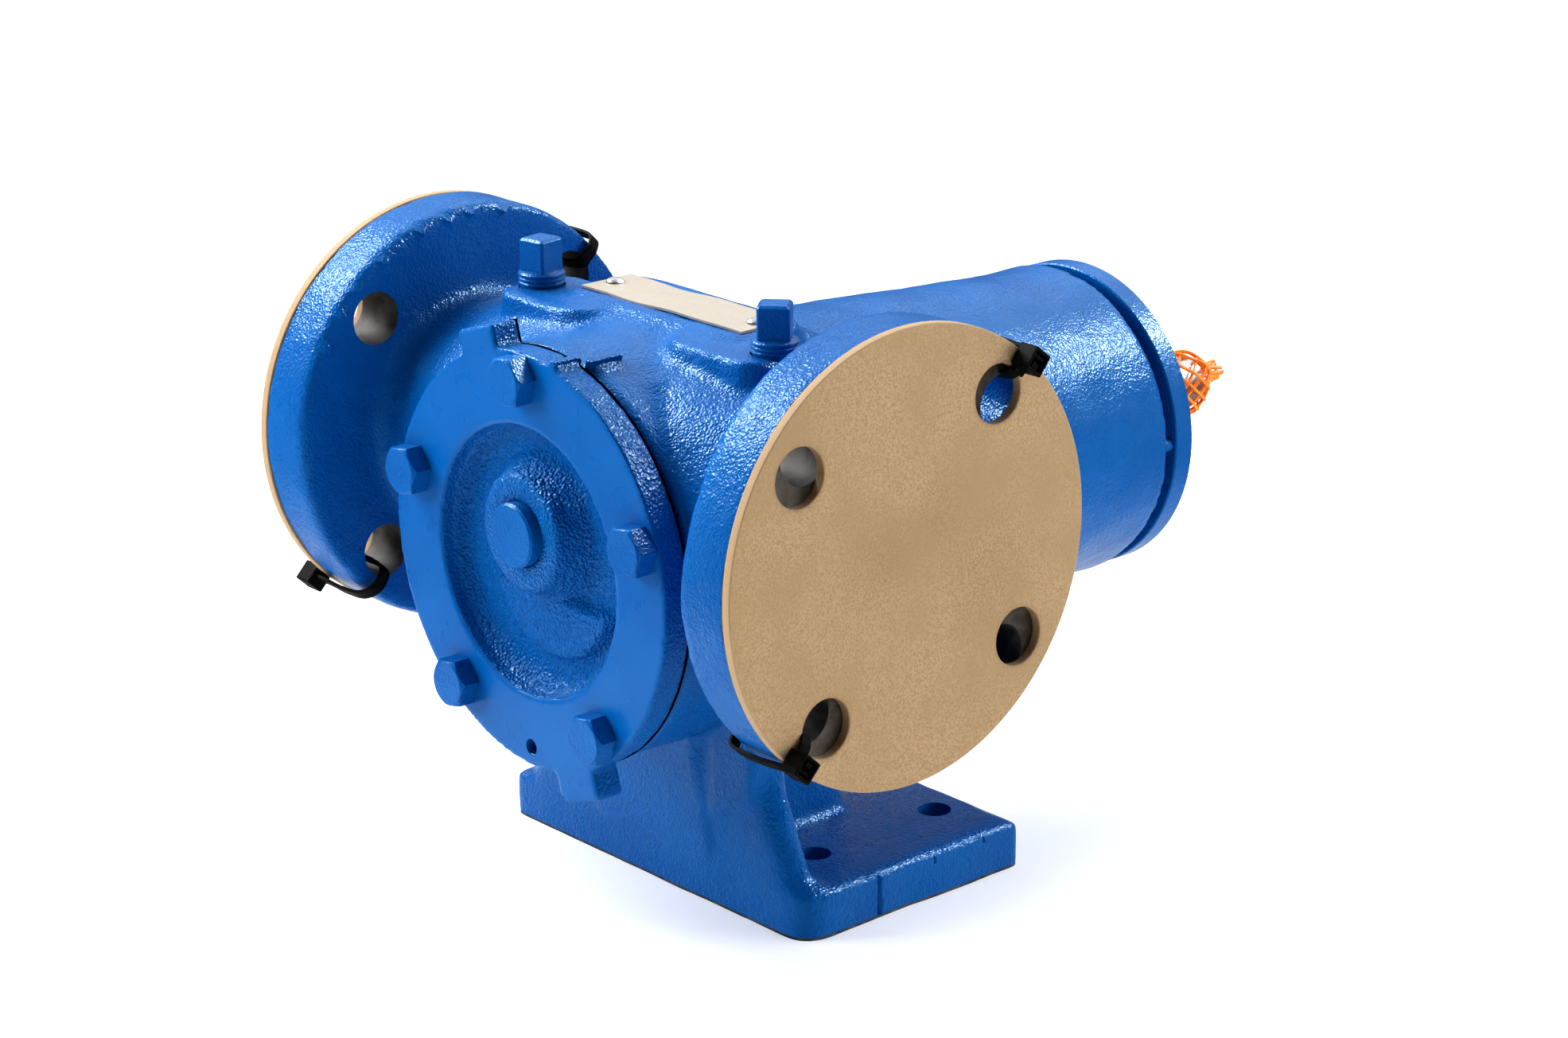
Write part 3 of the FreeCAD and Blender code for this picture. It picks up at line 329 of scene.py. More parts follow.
@dataclass(frozen=True)
class Metal:
    """Machined or ground metal with fine turned marks."""

    colour: Color
    second: Color
    roughness: float
    metallic: float = 1.0
    depth: float = 0.00004
    gloss: float = 0.5
    spread: float = 0.18
    cloud: tuple[float, float, float] = (160.0, 0.35, 0.65)
    grain: tuple[float, float, float] = (900.0, 2600.0, 0.5)

    def material(self, name: str) -> bpy.types.Material:
        """Builds the material.

        Args:
            name: Name of the material.

        Returns:
            The material.
        """
        made = Material(name)
        mask = made.patches(*self.cloud)
        made.bump(made.grain(*self.grain), self.depth)
        made.plug(made.shader, {
            "Base Color": made.blend(mask, self.colour, self.second),
            "Roughness": made.ramp(mask, (0.0, 1.0), (self.roughness, self.roughness + self.spread)),
            "Metallic": self.metallic, "Specular IOR Level": self.gloss})
        return made.result


@dataclass(frozen=True)
class Moulded(Metal):
    """Rubber, carbon, ceramic or nylon: one even colour with faint moulding grain."""

    metallic: float = 0.0
    depth: float = 0.00003
    spread: float = 0.08
    cloud: tuple[float, float, float] = (240.0, 0.35, 0.7)
    grain: tuple[float, float, float] = (1500.0, 3500.0, 0.5)


@dataclass(frozen=True)
class FibreBoard:
    """Tan pressed board with fine fibre speckle, handling smudges and rust rings at its holes."""

    turn: float = 0.0
    smudges: tuple[tuple[float, float, float], ...] = (
        (-0.066, 0.150, 0.012), (-0.040, 0.160, 0.010), (-0.020, 0.135, 0.016))
    pale: Color = (0.405, 0.279, 0.149)
    dark: Color = (0.285, 0.188, 0.093)
    patch: Color = (0.31, 0.208, 0.104)
    cut_edge: Color = (0.36, 0.245, 0.135)
    stain: Color = (0.16, 0.085, 0.04)
    edge_radius: float = 0.0761
    ring: tuple[float, float, float] = (0.0107, 0.0012, 0.34)
    smudge: Pair = (0.95, 0.16)

    def marks(self) -> list[tuple[Point, float, float, float]]:
        """Lays out the rust rings and the smudges.

        Returns:
            Middle, radius, softness and strength of each mark.
        """
        angles = [math.radians(45 + 90 * k + self.turn) for k in range(4)]
        rings = [((0.0, PORT_Y + BOLT_CIRCLE * math.cos(a), PORT_Z + BOLT_CIRCLE * math.sin(a)), *self.ring)
                 for a in angles]
        soft, strength = self.smudge
        return rings + [((0.0, y, z), radius, radius * soft, strength) for y, z, radius in self.smudges]

    def material(self, name: str) -> bpy.types.Material:
        """Builds the material.

        Args:
            name: Name of the material.

        Returns:
            The material.
        """
        board = Material(name)
        speckle = board.patches(1300.0, 0.32, 0.68)
        fine = board.blend(speckle, self.pale, self.dark)
        colour = board.blend(board.patches(35.0, 0.3, 0.75), fine, self.patch)
        inside = board.mark(PORT_LINE, Axis.X, self.edge_radius, 0.0002)
        colour = board.blend(inside, self.cut_edge, colour)
        for centre, radius, soft, strength in self.marks():
            weight = board.reckon("MULTIPLY", board.mark(centre, Axis.X, radius, soft), strength)
            colour = board.blend(weight, colour, self.stain)
        board.bump(board.grain(700.0, 2400.0, 0.6), 0.00012)
        board.plug(board.shader, {"Base Color": colour, "Roughness": board.ramp(speckle, (0.0, 1.0), (0.7, 0.85))})
        return board.result


FINISHES = {
    "cast_enamel": Enamel(calm=(0.015, 0.05)),
    "head_enamel": Enamel(0.0015, 450.0, 1000.0, 0.58, dish_radius=0.0462),
    "trim_enamel": Enamel(0.0003),
    # Dark iron of the drilled holes and the foot's bottom edge; also painted shade on the thin band where the flanges
    # meet the boards.
    "dark_iron_and_gap_shade": Metal((0.045, 0.042, 0.04), (0.12, 0.115, 0.11), 0.62, 0.5),
    "flange_iron": Metal((0.33, 0.30, 0.27), (0.22, 0.20, 0.18), 0.55),
    "bare_iron": Metal((0.17, 0.165, 0.16), (0.09, 0.088, 0.085), 0.5),
    "ground_steel": Metal((0.60, 0.60, 0.61), (0.48, 0.48, 0.49), 0.28),
    "plate_metal": Metal((0.43, 0.395, 0.34), (0.37, 0.335, 0.285), 0.42, 0.45),
    "carbon": Moulded((0.025, 0.025, 0.027), (0.04, 0.04, 0.042), 0.3),
    "ceramic": Moulded((0.75, 0.73, 0.68), (0.7, 0.68, 0.62), 0.2),
    "rubber": Moulded((0.018, 0.018, 0.018), (0.03, 0.03, 0.03), 0.6),
    "gasket_fibre": Moulded((0.09, 0.11, 0.10), (0.13, 0.14, 0.12), 0.8, depth=0.0001),
    "nylon": Moulded((0.004, 0.004, 0.004), (0.008, 0.008, 0.008), 0.5, gloss=0.05),
    "orange_net": Moulded((0.96, 0.285, 0.012), (0.90, 0.20, 0.008), 0.4),
    "left_board": FibreBoard(),
    "right_board": FibreBoard(6.8),
}


@cache
def finish(name: str) -> bpy.types.Material:
    """Gives a finish as a material, built at its first use."""
    return FINISHES[name].material(name)


NODE_FINISH = {
    "casing": "cast_enamel", "head": "head_enamel", "head_gasket": "gasket_fibre", "head_capscrews": "trim_enamel",
    "rotor": "bare_iron", "idler_bushing": "carbon", "idler_pin": "trim_enamel", "shaft_bushing": "carbon",
    "seal_gland": "bare_iron", "seal_seat": "ceramic", "seal_seat_cup": "rubber", "seal_face_ring": "carbon",
    "seal_bellows": "rubber", "bearing_carrier": "trim_enamel", "inner_lip_seal": "rubber",
    "bearing_end_cap": "trim_enamel", "outer_lip_seal": "rubber", "carrier_set_screws": "trim_enamel",
    "left_pipe_plug": "trim_enamel", "right_pipe_plug": "trim_enamel", "name_plate": "plate_metal",
    "left_port_cover": "left_board", "right_port_cover": "right_board",
}
OTHER_NODES = "ground_steel"

AXIS_TURN = {
    Axis.X: Matrix.Rotation(math.pi / 2, 4, "Y"),
    Axis.Y: Matrix.Rotation(-math.pi / 2, 4, "X"),
    Axis.Z: Matrix.Identity(4),
}


def add_bar(shape: Shape, axis: Axis, start: float, end: float, radius: float, line: Point,
            segments: int = 64) -> None:
    """Adds a closed round bar along an axis.

    Args:
        shape: Mesh that takes the bar.
        axis: Direction of the bar.
        start: Place of its first end along the axis.
        end: Place of its other end.
        radius: Radius of the bar.
        line: Any point of its axis line; the coordinate along the axis isn't used.
        segments: Faces round the bar.
    """
    centre = Vector(line)
    centre += axis.vector * ((start + end) / 2 - centre.dot(axis.vector))
    bmesh.ops.create_cone(shape, cap_ends=True, cap_tris=False, segments=segments, radius1=radius, radius2=radius,
                          depth=abs(end - start), matrix=Matrix.Translation(centre) @ AXIS_TURN[axis])


def add_box(shape: Shape, low: Point | Vector, high: Point | Vector) -> list[bmesh.types.BMVert]:
    """Adds a closed box.

    Args:
        shape: Mesh that takes the box.
        low: Its corner with the lowest coordinates.
        high: Its corner with the highest.

    Returns:
        The box's vertices.
    """
    size, middle = Vector(high) - Vector(low), (Vector(high) + Vector(low)) / 2
    made = bmesh.ops.create_cube(shape, size=1.0, matrix=Matrix.Translation(middle) @ Matrix.Diagonal((*size, 1.0)))
    return made["verts"]


def add_turned(shape: Shape, corners: Sequence[Pair], axis: Axis, centre: Point, steps: int = 96) -> None:
    """Spins an outline of (along, radius) corners about an axis.

    Args:
        shape: Mesh that takes the turned shape.
        corners: Outline; it closes on itself or ends on the axis at both ends.
        axis: Axis of the turn.
        centre: Point of the axis where along is zero.
        steps: Faces round the shape.
    """
    along = axis.vector
    across = Axis.X.vector if axis is Axis.Z else Axis.Z.vector
    line = [shape.verts.new(Vector(centre) + along * a + across * r) for a, r in corners]
    edges = [shape.edges.new(pair) for pair in zip(line, line[1:])]
    if corners[0][1] > 0.0:
        edges.append(shape.edges.new((line[-1], line[0])))
    bmesh.ops.spin(shape, geom=line + edges, cent=centre, axis=along, dvec=(0, 0, 0), angle=math.tau, steps=steps,
                   use_merge=True)
    poles = [vert for vert in shape.verts if (vert.co - Vector(centre)).cross(along).length < SAME_SPOT]
    bmesh.ops.remove_doubles(shape, verts=poles, dist=SAME_SPOT)


def round_off(shape: Shape, edges: Iterable[bmesh.types.BMEdge], width: float, segments: int) -> None:
    """Bevels chosen edges."""
    bmesh.ops.bevel(shape, geom=list(edges), offset=width, offset_type="OFFSET", segments=segments, profile=0.5,
                    affect="EDGES", clamp_overlap=True, material=-1)


def soften(shape: Shape, width: float, segments: int = 2, angle: float = 40.0) -> None:
    """Bevels every edge that is sharper than an angle in degrees.

    Args:
        shape: The mesh.
        width: Width of the bevel.
        segments: Faces across it.
        angle: The angle.
    """
    shape.normal_update()
    sharp = [edge for edge in shape.edges if edge.is_manifold and edge.calc_face_angle() > math.radians(angle)]
    round_off(shape, sharp, width, segments)


def upright_edges(shape: Shape) -> list[bmesh.types.BMEdge]:
    """Edges that run up and down."""
    return [edge for edge in shape.edges if abs(edge.verts[0].co.z - edge.verts[1].co.z) > 0.001]


def scratch_piece(name: str, shape: Shape) -> Piece:
    """Puts a mesh in the scene and frees its bmesh.

    Args:
        name: Name of the piece.
        shape: Its mesh.

    Returns:
        The piece.
    """
    mesh = bpy.data.meshes.new(name)
    shape.to_mesh(mesh)
    shape.free()
    piece = bpy.data.objects.new(name, mesh)
    bpy.context.scene.collection.objects.link(piece)
    return piece


def settle(piece: Piece) -> None:
    """Applies a piece's modifiers to its mesh.

    Args:
        piece: The piece.
    """
    graph = bpy.context.evaluated_depsgraph_get()
    mesh = bpy.data.meshes.new_from_object(piece.evaluated_get(graph), depsgraph=graph)
    piece.modifiers.clear()
    piece.data = mesh


def lift_shape(piece: Piece) -> Shape:
    """Takes the mesh of a scratch piece and drops the piece.

    Args:
        piece: The piece.

    Returns:
        Its mesh.
    """
    shape = bmesh.new()
    shape.from_mesh(piece.data)
    bpy.data.objects.remove(piece, do_unlink=True)
    return shape


def publish(name: str, shape: Shape, finishes: tuple[str, ...], body: str = HOUSING,
            replaces: tuple[str, ...] = (), crease: float = 40.0) -> None:
    """Turns a bmesh into a finished piece of the pump.

    Args:
        name: Name of the piece.
        shape: Its mesh, freed here.
        finishes: Finish of each material index.
        body: Body that it rides on.
        replaces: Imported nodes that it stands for.
        crease: Angle in degrees above which an edge stays crisp.
    """
    for face in shape.faces:
        face.smooth = True
    for edge in shape.edges:
        edge.smooth = edge.is_manifold and edge.calc_face_angle() < math.radians(crease)
    piece = scratch_piece(name, shape)
    for coat in finishes:
        piece.data.materials.append(finish(coat))
    piece.modifiers.new("weighted", "WEIGHTED_NORMAL").keep_sharp = True
    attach(piece, body)
    if replaces:
        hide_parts(*replaces)
    LOG.info("built %s, %d faces", name, len(piece.data.polygons))


def merge_shape(shape: Shape, part: Shape) -> None:
    """Adds one mesh to another and frees it.

    Args:
        shape: Mesh that takes the other.
        part: Mesh that is added and freed.
    """
    held = bpy.data.meshes.new("held")
    part.to_mesh(held)
    part.free()
    shape.from_mesh(held)
    bpy.data.meshes.remove(held)


def node_shape(name: str) -> Shape:
    """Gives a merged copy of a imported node's mesh.

    Args:
        name: Name of the node.

    Returns:
        The copy.
    """
    shape = bmesh.new()
    shape.from_mesh(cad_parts[name].data)
    bmesh.ops.remove_doubles(shape, verts=shape.verts, dist=SAME_SPOT)
    return shape


def head_side(way: float) -> Shape:
    """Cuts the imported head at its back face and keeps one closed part.

    Args:
        way: 1 for the part in front of the back face, -1 for the part behind it.

    Returns:
        The part.
    """
    shape = node_shape("head")
    bmesh.ops.bisect_plane(shape, geom=[*shape.verts, *shape.edges, *shape.faces], dist=SAME_SPOT,
                           plane_co=(0.0, HEAD_BACK, 0.0), plane_no=(0.0, way, 0.0), clear_outer=True)
    bmesh.ops.holes_fill(shape, edges=[edge for edge in shape.edges if edge.is_boundary])
    return shape


def about_shaft(angle: float) -> Matrix:
    """Turns a shape that is built round +X at height zero to an angle in degrees about the shaft."""
    return Matrix.Translation(SHAFT_LINE) @ Matrix.Rotation(-math.radians(angle), 4, "Y")


@dataclass
class Casting:
    """Base of the cast pieces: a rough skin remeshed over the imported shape, then machined by cutters."""

    voxel: float = 0.0017
    smoothing: int = 6
    lump: Pair = (0.012, 0.0007)
    wave: Pair = (0.05, 0.0016)

    def skin(self, piece: Piece, passes: int) -> None:
        """Lays an even skin over a piece and rounds its edges.

        Args:
            piece: The piece.
            passes: How often the rounding runs.
        """
        remesh = piece.modifiers.new("remesh", "REMESH")
        remesh.mode = "VOXEL"
        remesh.voxel_size = self.voxel
        rounding = piece.modifiers.new("rounding", "SMOOTH")
        rounding.factor = 0.5
        rounding.iterations = passes

    def roughen(self, piece: Piece) -> None:
        """Gives a raw shape the surface of a sand mould.

        Args:
            piece: The piece.
        """
        self.skin(piece, self.smoothing)
        for size, depth in (self.lump, self.wave):
            sand = bpy.data.textures.new("mould_sand", "CLOUDS")
            sand.noise_scale = size
            sand.noise_depth = 1
            uneven = piece.modifiers.new("uneven", "DISPLACE")
            uneven.texture = sand
            uneven.texture_coords = "LOCAL"
            uneven.strength = depth
            uneven.mid_level = 0.5
        settle(piece)

    def paint(self, piece: Piece) -> None:
        """Rounds the machined edges as thick paint does."""
        self.skin(piece, 1)
        settle(piece)

    def cut(self, piece: Piece, *cutters: Shape) -> None:
        """Machines a piece with closed cutter shapes, one after another.

        Args:
            piece: The piece.
            *cutters: The cutters, freed here.
        """
        for cutter in cutters:
            bmesh.ops.recalc_face_normals(cutter, faces=cutter.faces)
            tool = scratch_piece("cutter", cutter)
            boolean = piece.modifiers.new("machined", "BOOLEAN")
            boolean.operation = "DIFFERENCE"
            boolean.solver = "MANIFOLD"
            boolean.object = tool
            settle(piece)
            bpy.data.objects.remove(tool, do_unlink=True)


@dataclass
class CastCasing(Casting):
    """Casting with barrel, drum, ports, shelf and foot: rough skin, machined faces and open bores."""

    flange_back: float = 0.1014
    flange_radius: float = 0.0762
    bolt_hole: float = 0.009525
    right_hole_extra: float = 0.000175
    groove: Pair = (0.0018, 0.0021)
    drum_end: float = 0.1403
    drum_paint: float = 0.0006
    barrel_radius: float = 0.072
    drum_radius: float = 0.0576
    stock: float = 0.0024
    flange_bite: float = 0.004
    face_bite: float = 0.006
    bolt_stopper: float = 0.001
    stopper: float = 0.0008
    plug_stopper: Pair = (0.012, 0.0004)
    port_bore: float = 0.0254
    plug_hole: float = 0.0083
    foot_hole: float = 0.006
    foot_x: float = 0.0524
    foot_y: float = 0.0286
    foot_top: float = 0.017
    foot_low: Point = (-0.0804, -0.0574, -0.004)
    foot_high: Point = (0.0800, 0.0442, 0.0168)
    foot_corners: Pair = (0.0030, 0.0090)
    bulge_low: Pair = (-0.0579, 0.014)
    bulge_high: Pair = (-0.0618, 0.062)
    plate_low: Point = (-0.0424, -0.0503, 0.2043)
    plate_high: Point = (0.0424, -0.0275, 0.2100)
    nicks: tuple[Pair, ...] = (
        (132.5, 0.0016), (121.3, 0.0019), (107.2, 0.0015), (97.7, 0.0018), (90.4, 0.0014), (78.8, 0.0016),
        (141.0, 0.0013), (151.0, 0.0017))
    nick_size: float = 0.0026
    nick_centre: float = 0.0006
    seam_cracks: tuple[tuple[float, float, float], ...] = (
        (-0.0234, 0.001, 0.019), (0.0032, 0.0125, 0.019), (0.0266, 0.0135, 0.019))
    crack_width: float = 0.0015
    bare_edge: float = 0.0009
    # Width of the dark band on the flange's rim and bores next to the board: painted shade of the joint with the
    # board.
    flange_gap_shade: float = 0.0005
    bare_hole: float = 0.0004
    hole_zone: float = 0.007
    painted_depth: float = 0.012
    face_spare: float = 0.0012
    chamber: tuple[Pair, ...] = (
        (-0.0996, 0.0), (-0.0996, 0.05215), (-0.0282, 0.05215), (-0.0282, 0.01902), (0.0038, 0.01902),
        (0.0038, 0.032), (0.0458, 0.032), (0.0458, 0.0486), (0.0843, 0.0486), (0.0843, 0.05005),
        (0.1423, 0.05005), (0.1423, 0.0))

    def flange_places(self) -> list[Pair]:
        """(y, z) places of a flange's four holes."""
        angles = [math.radians(45 + 90 * k) for k in range(4)]
        return [(PORT_Y + BOLT_CIRCLE * math.cos(a), PORT_Z + BOLT_CIRCLE * math.sin(a)) for a in angles]

    def foot_bars(self, shape: Shape, low: float, high: float, radius: float, segments: int) -> None:
        """Adds a bar at each of the foot's four holes.

        Args:
            shape: Mesh that takes the bars.
            low: Height of their lower ends.
            high: Height of their upper ends.
            radius: Their radius.
            segments: Faces round each.
        """
        for x in (-self.foot_x, self.foot_x):
            for y in (-self.foot_y, self.foot_y):
                add_bar(shape, Axis.Z, low, high, radius, (x, y, 0.0), segments)

    def raw_shape(self) -> Shape:
        """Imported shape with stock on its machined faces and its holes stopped.

        Returns:
            The raw shape.
        """
        shape = node_shape("casing")
        for side in (-1, 1):
            add_bar(shape, Axis.X, side * (FLANGE_FACE - self.flange_bite), side * (FLANGE_FACE + self.stock),
                    self.flange_radius, PORT_LINE, 128)
            for y, z in self.flange_places():
                add_bar(shape, Axis.X, side * self.flange_back, side * FLANGE_FACE,
                        self.bolt_hole + self.bolt_stopper, (0.0, y, z), 32)
            add_bar(shape, Axis.Z, SHELF_Z - self.plug_stopper[0], SHELF_Z - self.plug_stopper[1],
                    self.plug_hole + self.stopper, (side * PLUG_X, PORT_Y, 0.0), 32)
        add_bar(shape, Axis.Y, CASING_FACE - self.stock, CASING_FACE + self.face_bite, self.barrel_radius,
                SHAFT_LINE, 128)
        add_bar(shape, Axis.Y, self.drum_end - self.face_bite, self.drum_end + self.stock, self.drum_radius,
                SHAFT_LINE, 128)
        self.foot_bars(shape, self.foot_low[2], self.foot_top, self.foot_hole + self.stopper, 32)
        foot = bmesh.new()
        add_box(foot, self.foot_low, self.foot_high)
        for side, radius in zip((-1, 1), self.foot_corners):
            round_off(foot, [edge for edge in upright_edges(foot) if all(
                vert.co.y < self.foot_low[1] + SAME_SPOT and side * vert.co.x > 0.07 for vert in edge.verts)],
                radius, 4)
        merge_shape(shape, foot)
        return shape

    def drum_slab(self, cutter: Shape, start: float) -> None:
        """Adds the slab that faces off the drum's end."""
        add_box(cutter, (-0.09, start, 0.04), (0.09, self.drum_end + 0.02, 0.22))

    def painted_faces(self) -> Shape:
        """Cutter for the faces that are machined before the paint: head face, drum end and plate pad.

        Returns:
            The cutter.
        """
        cutter = bmesh.new()
        add_bar(cutter, Axis.Y, CASING_FACE - 0.01, CASING_FACE, self.barrel_radius + self.face_spare, SHAFT_LINE, 128)
        self.drum_slab(cutter, self.drum_end + self.drum_paint)
        add_box(cutter, self.plate_low, self.plate_high)
        return cutter

    def groove_edge(self) -> Shape:
        """Cutter that slopes the barrel's front edge, so that a groove shows behind the head.

        Returns:
            The cutter.
        """
        cutter = bmesh.new()
        front, back = CASING_FACE - 0.002, CASING_FACE + self.groove[0]
        inner, outer = self.barrel_radius - self.groove[1], self.barrel_radius + 0.005
        add_turned(cutter, [(front, inner), (front, outer), (back, outer), (back, self.barrel_radius + 0.0003),
                            (CASING_FACE, inner)], Axis.Y, SHAFT_LINE)
        return cutter

    def bulge_slope(self) -> Shape:
        """Cutter that runs the bulge in the front wall out to nothing towards the foot.

        Returns:
            The cutter.
        """
        cutter = bmesh.new()
        (low_y, low_z), (high_y, high_z) = self.bulge_low, self.bulge_high
        add_box(cutter, (-0.036, -0.02, 0.0), (0.036, 0.0, math.hypot(high_y - low_y, high_z - low_z)))
        slope = math.atan2(high_y - low_y, high_z - low_z)
        turn = Matrix.Translation((0.0, low_y, low_z)) @ Matrix.Rotation(-slope, 4, "X")
        bmesh.ops.transform(cutter, matrix=turn, verts=cutter.verts)
        return cutter

    def bare_faces(self) -> Shape:
        """Cutter for the faces that are cut after the paint: flange faces, the foot's underside, the drum's end.

        Returns:
            The cutter.
        """
        cutter = bmesh.new()
        for side in (-1, 1):
            low, high = sorted((side * FLANGE_FACE, side * (FLANGE_FACE + 0.02)))
            add_box(cutter, (low, -0.15, 0.04), (high, 0.06, 0.24))
        add_box(cutter, (-0.1, -0.08, -0.02), (0.1, 0.07, 0.0))
        self.drum_slab(cutter, self.drum_end)
        return cutter

    def cracks(self) -> Shape:
        """Cutter for the seam cracks in the foot's right side.

        Returns:
            The cutter.
        """
        cutter = bmesh.new()
        half = self.crack_width / 2
        for y, low, high in self.seam_cracks:
            corners = add_box(cutter, (-half, -half, low), (half, half, high))
            turn = Matrix.Translation((self.foot_high[0], y, 0.0)) @ Matrix.Rotation(math.pi / 4, 4, "Z")
            bmesh.ops.transform(cutter, matrix=turn, verts=corners)
        return cutter

    def nick(self, piece: Piece) -> None:
        """Dents the left flange's back edge where the mould's seam was trimmed.

        Args:
            piece: The casing.
        """
        for vert in piece.data.vertices:
            out = Vector((0.0, vert.co.y - PORT_Y, vert.co.z - PORT_Z))
            depth = (out.length - self.flange_radius + self.nick_centre) / self.nick_size
            back = (vert.co.x + self.flange_back) / self.nick_size
            if abs(depth) > 2.0 or abs(back) > 2.0:
                continue
            angle = math.degrees(math.atan2(out.z, out.y))
            for spot, width in self.nicks:
                away = math.radians(angle - spot) * self.flange_radius / width
                if abs(away) < 2.0:
                    shift = self.nick_size * math.exp(-away * away - depth * depth - back * back)
                    vert.co -= (out.normalized() - Axis.X.vector) * shift

    def holes(self) -> Shape:
        """Cutter for the flange and foot holes and the shaft's stepped bore.

        Returns:
            The cutter.
        """
        cutter = bmesh.new()
        add_turned(cutter, self.chamber, Axis.Y, SHAFT_LINE)
        for side in (-1, 1):
            radius = self.bolt_hole + (self.right_hole_extra if side > 0 else 0.0)
            for y, z in self.flange_places():
                add_bar(cutter, Axis.X, side * (self.flange_back - 0.006), side * (FLANGE_FACE + 0.001), radius,
                        (0.0, y, z), 48)
        self.foot_bars(cutter, -0.002, self.foot_top + 0.004, self.foot_hole, 48)
        return cutter

    def ports(self) -> Shape:
        """Cutter for both port bores.

        Returns:
            The cutter.
        """
        cutter = bmesh.new()
        add_bar(cutter, Axis.X, -FLANGE_FACE - 0.001, FLANGE_FACE + 0.001, self.port_bore, PORT_LINE, 96)
        return cutter

    def plug_holes(self) -> Shape:
        """Cutter for the tapped holes of the plugs.

        Returns:
            The cutter.
        """
        cutter = bmesh.new()
        for side in (-1, 1):
            add_bar(cutter, Axis.Z, PORT_Z, SHELF_Z + 0.004, self.plug_hole, (side * PLUG_X, PORT_Y, 0.0), 48)
        return cutter

    def finish_index(self, face: bmesh.types.BMFace) -> int:
        """Picks a face's finish.

        Args:
            face: The face.

        Returns:
            0 for enamel, 1 for dark bare iron, which also stands as painted shade on the flange's rim and bores next
            to the board, 2 for the machined flange face.
        """
        spot = face.calc_center_median()
        # The flange face is bare machined iron; the band of rim and bores beside it takes the dark iron as painted
        # shade of the joint with the board.
        if abs(spot.x) > FLANGE_FACE - self.flange_gap_shade:
            return 2 if abs(face.normal.x) > 0.7 else 1
        if spot.z < self.bare_edge:
            return 1
        if abs(spot.x) > self.flange_back - self.hole_zone and abs(face.normal.x) < 0.3:
            upper_back = spot.x > 0.0 and spot.y > PORT_Y and spot.z > PORT_Z
            painted = upper_back and spot.x < self.flange_back + self.painted_depth
            near = min(math.hypot(spot.y - y, spot.z - z) for y, z in self.flange_places())
            return int(near < self.bolt_hole + self.bare_hole and not painted)
        return 0

    def split(self, shape: Shape, way: Vector, edge: float) -> None:
        """Cuts the faces near a plane along it, so that a bare edge or a band of painted shade ends in a clean line.

        Args:
            shape: Mesh of the casing.
            way: Normal of the plane.
            edge: Distance of the plane from the origin.
        """
        spot = way * edge
        near = [face for face in shape.faces if abs((face.calc_center_median() - spot).dot(way)) < 2 * self.voxel]
        parts = set(near) | {item for face in near for item in (*face.verts, *face.edges)}
        bmesh.ops.bisect_plane(shape, geom=list(parts), dist=1e-7, plane_co=spot, plane_no=way)

    def build(self) -> None:
        """Builds the casing's visible piece."""
        piece = scratch_piece("raw_casing", self.raw_shape())
        self.roughen(piece)
        self.cut(piece, self.painted_faces(), self.bulge_slope(), self.groove_edge())
        self.paint(piece)
        self.nick(piece)
        self.cut(piece, self.bare_faces(), self.cracks(), self.holes(), self.ports(), self.plug_holes())
        shape = lift_shape(piece)
        self.split(shape, Axis.Z.vector, self.bare_edge)
        # The bottom band is bare iron; the flange bands are painted shade where the boards meet them.
        for side in (1.0, -1.0):
            self.split(shape, Axis.X.vector * side, FLANGE_FACE - self.flange_gap_shade)
        for face in shape.faces:
            face.material_index = self.finish_index(face)
        publish("casing_skin", shape, ("cast_enamel", "dark_iron_and_gap_shade", "flange_iron"),
                replaces=("casing",), crease=48.0)


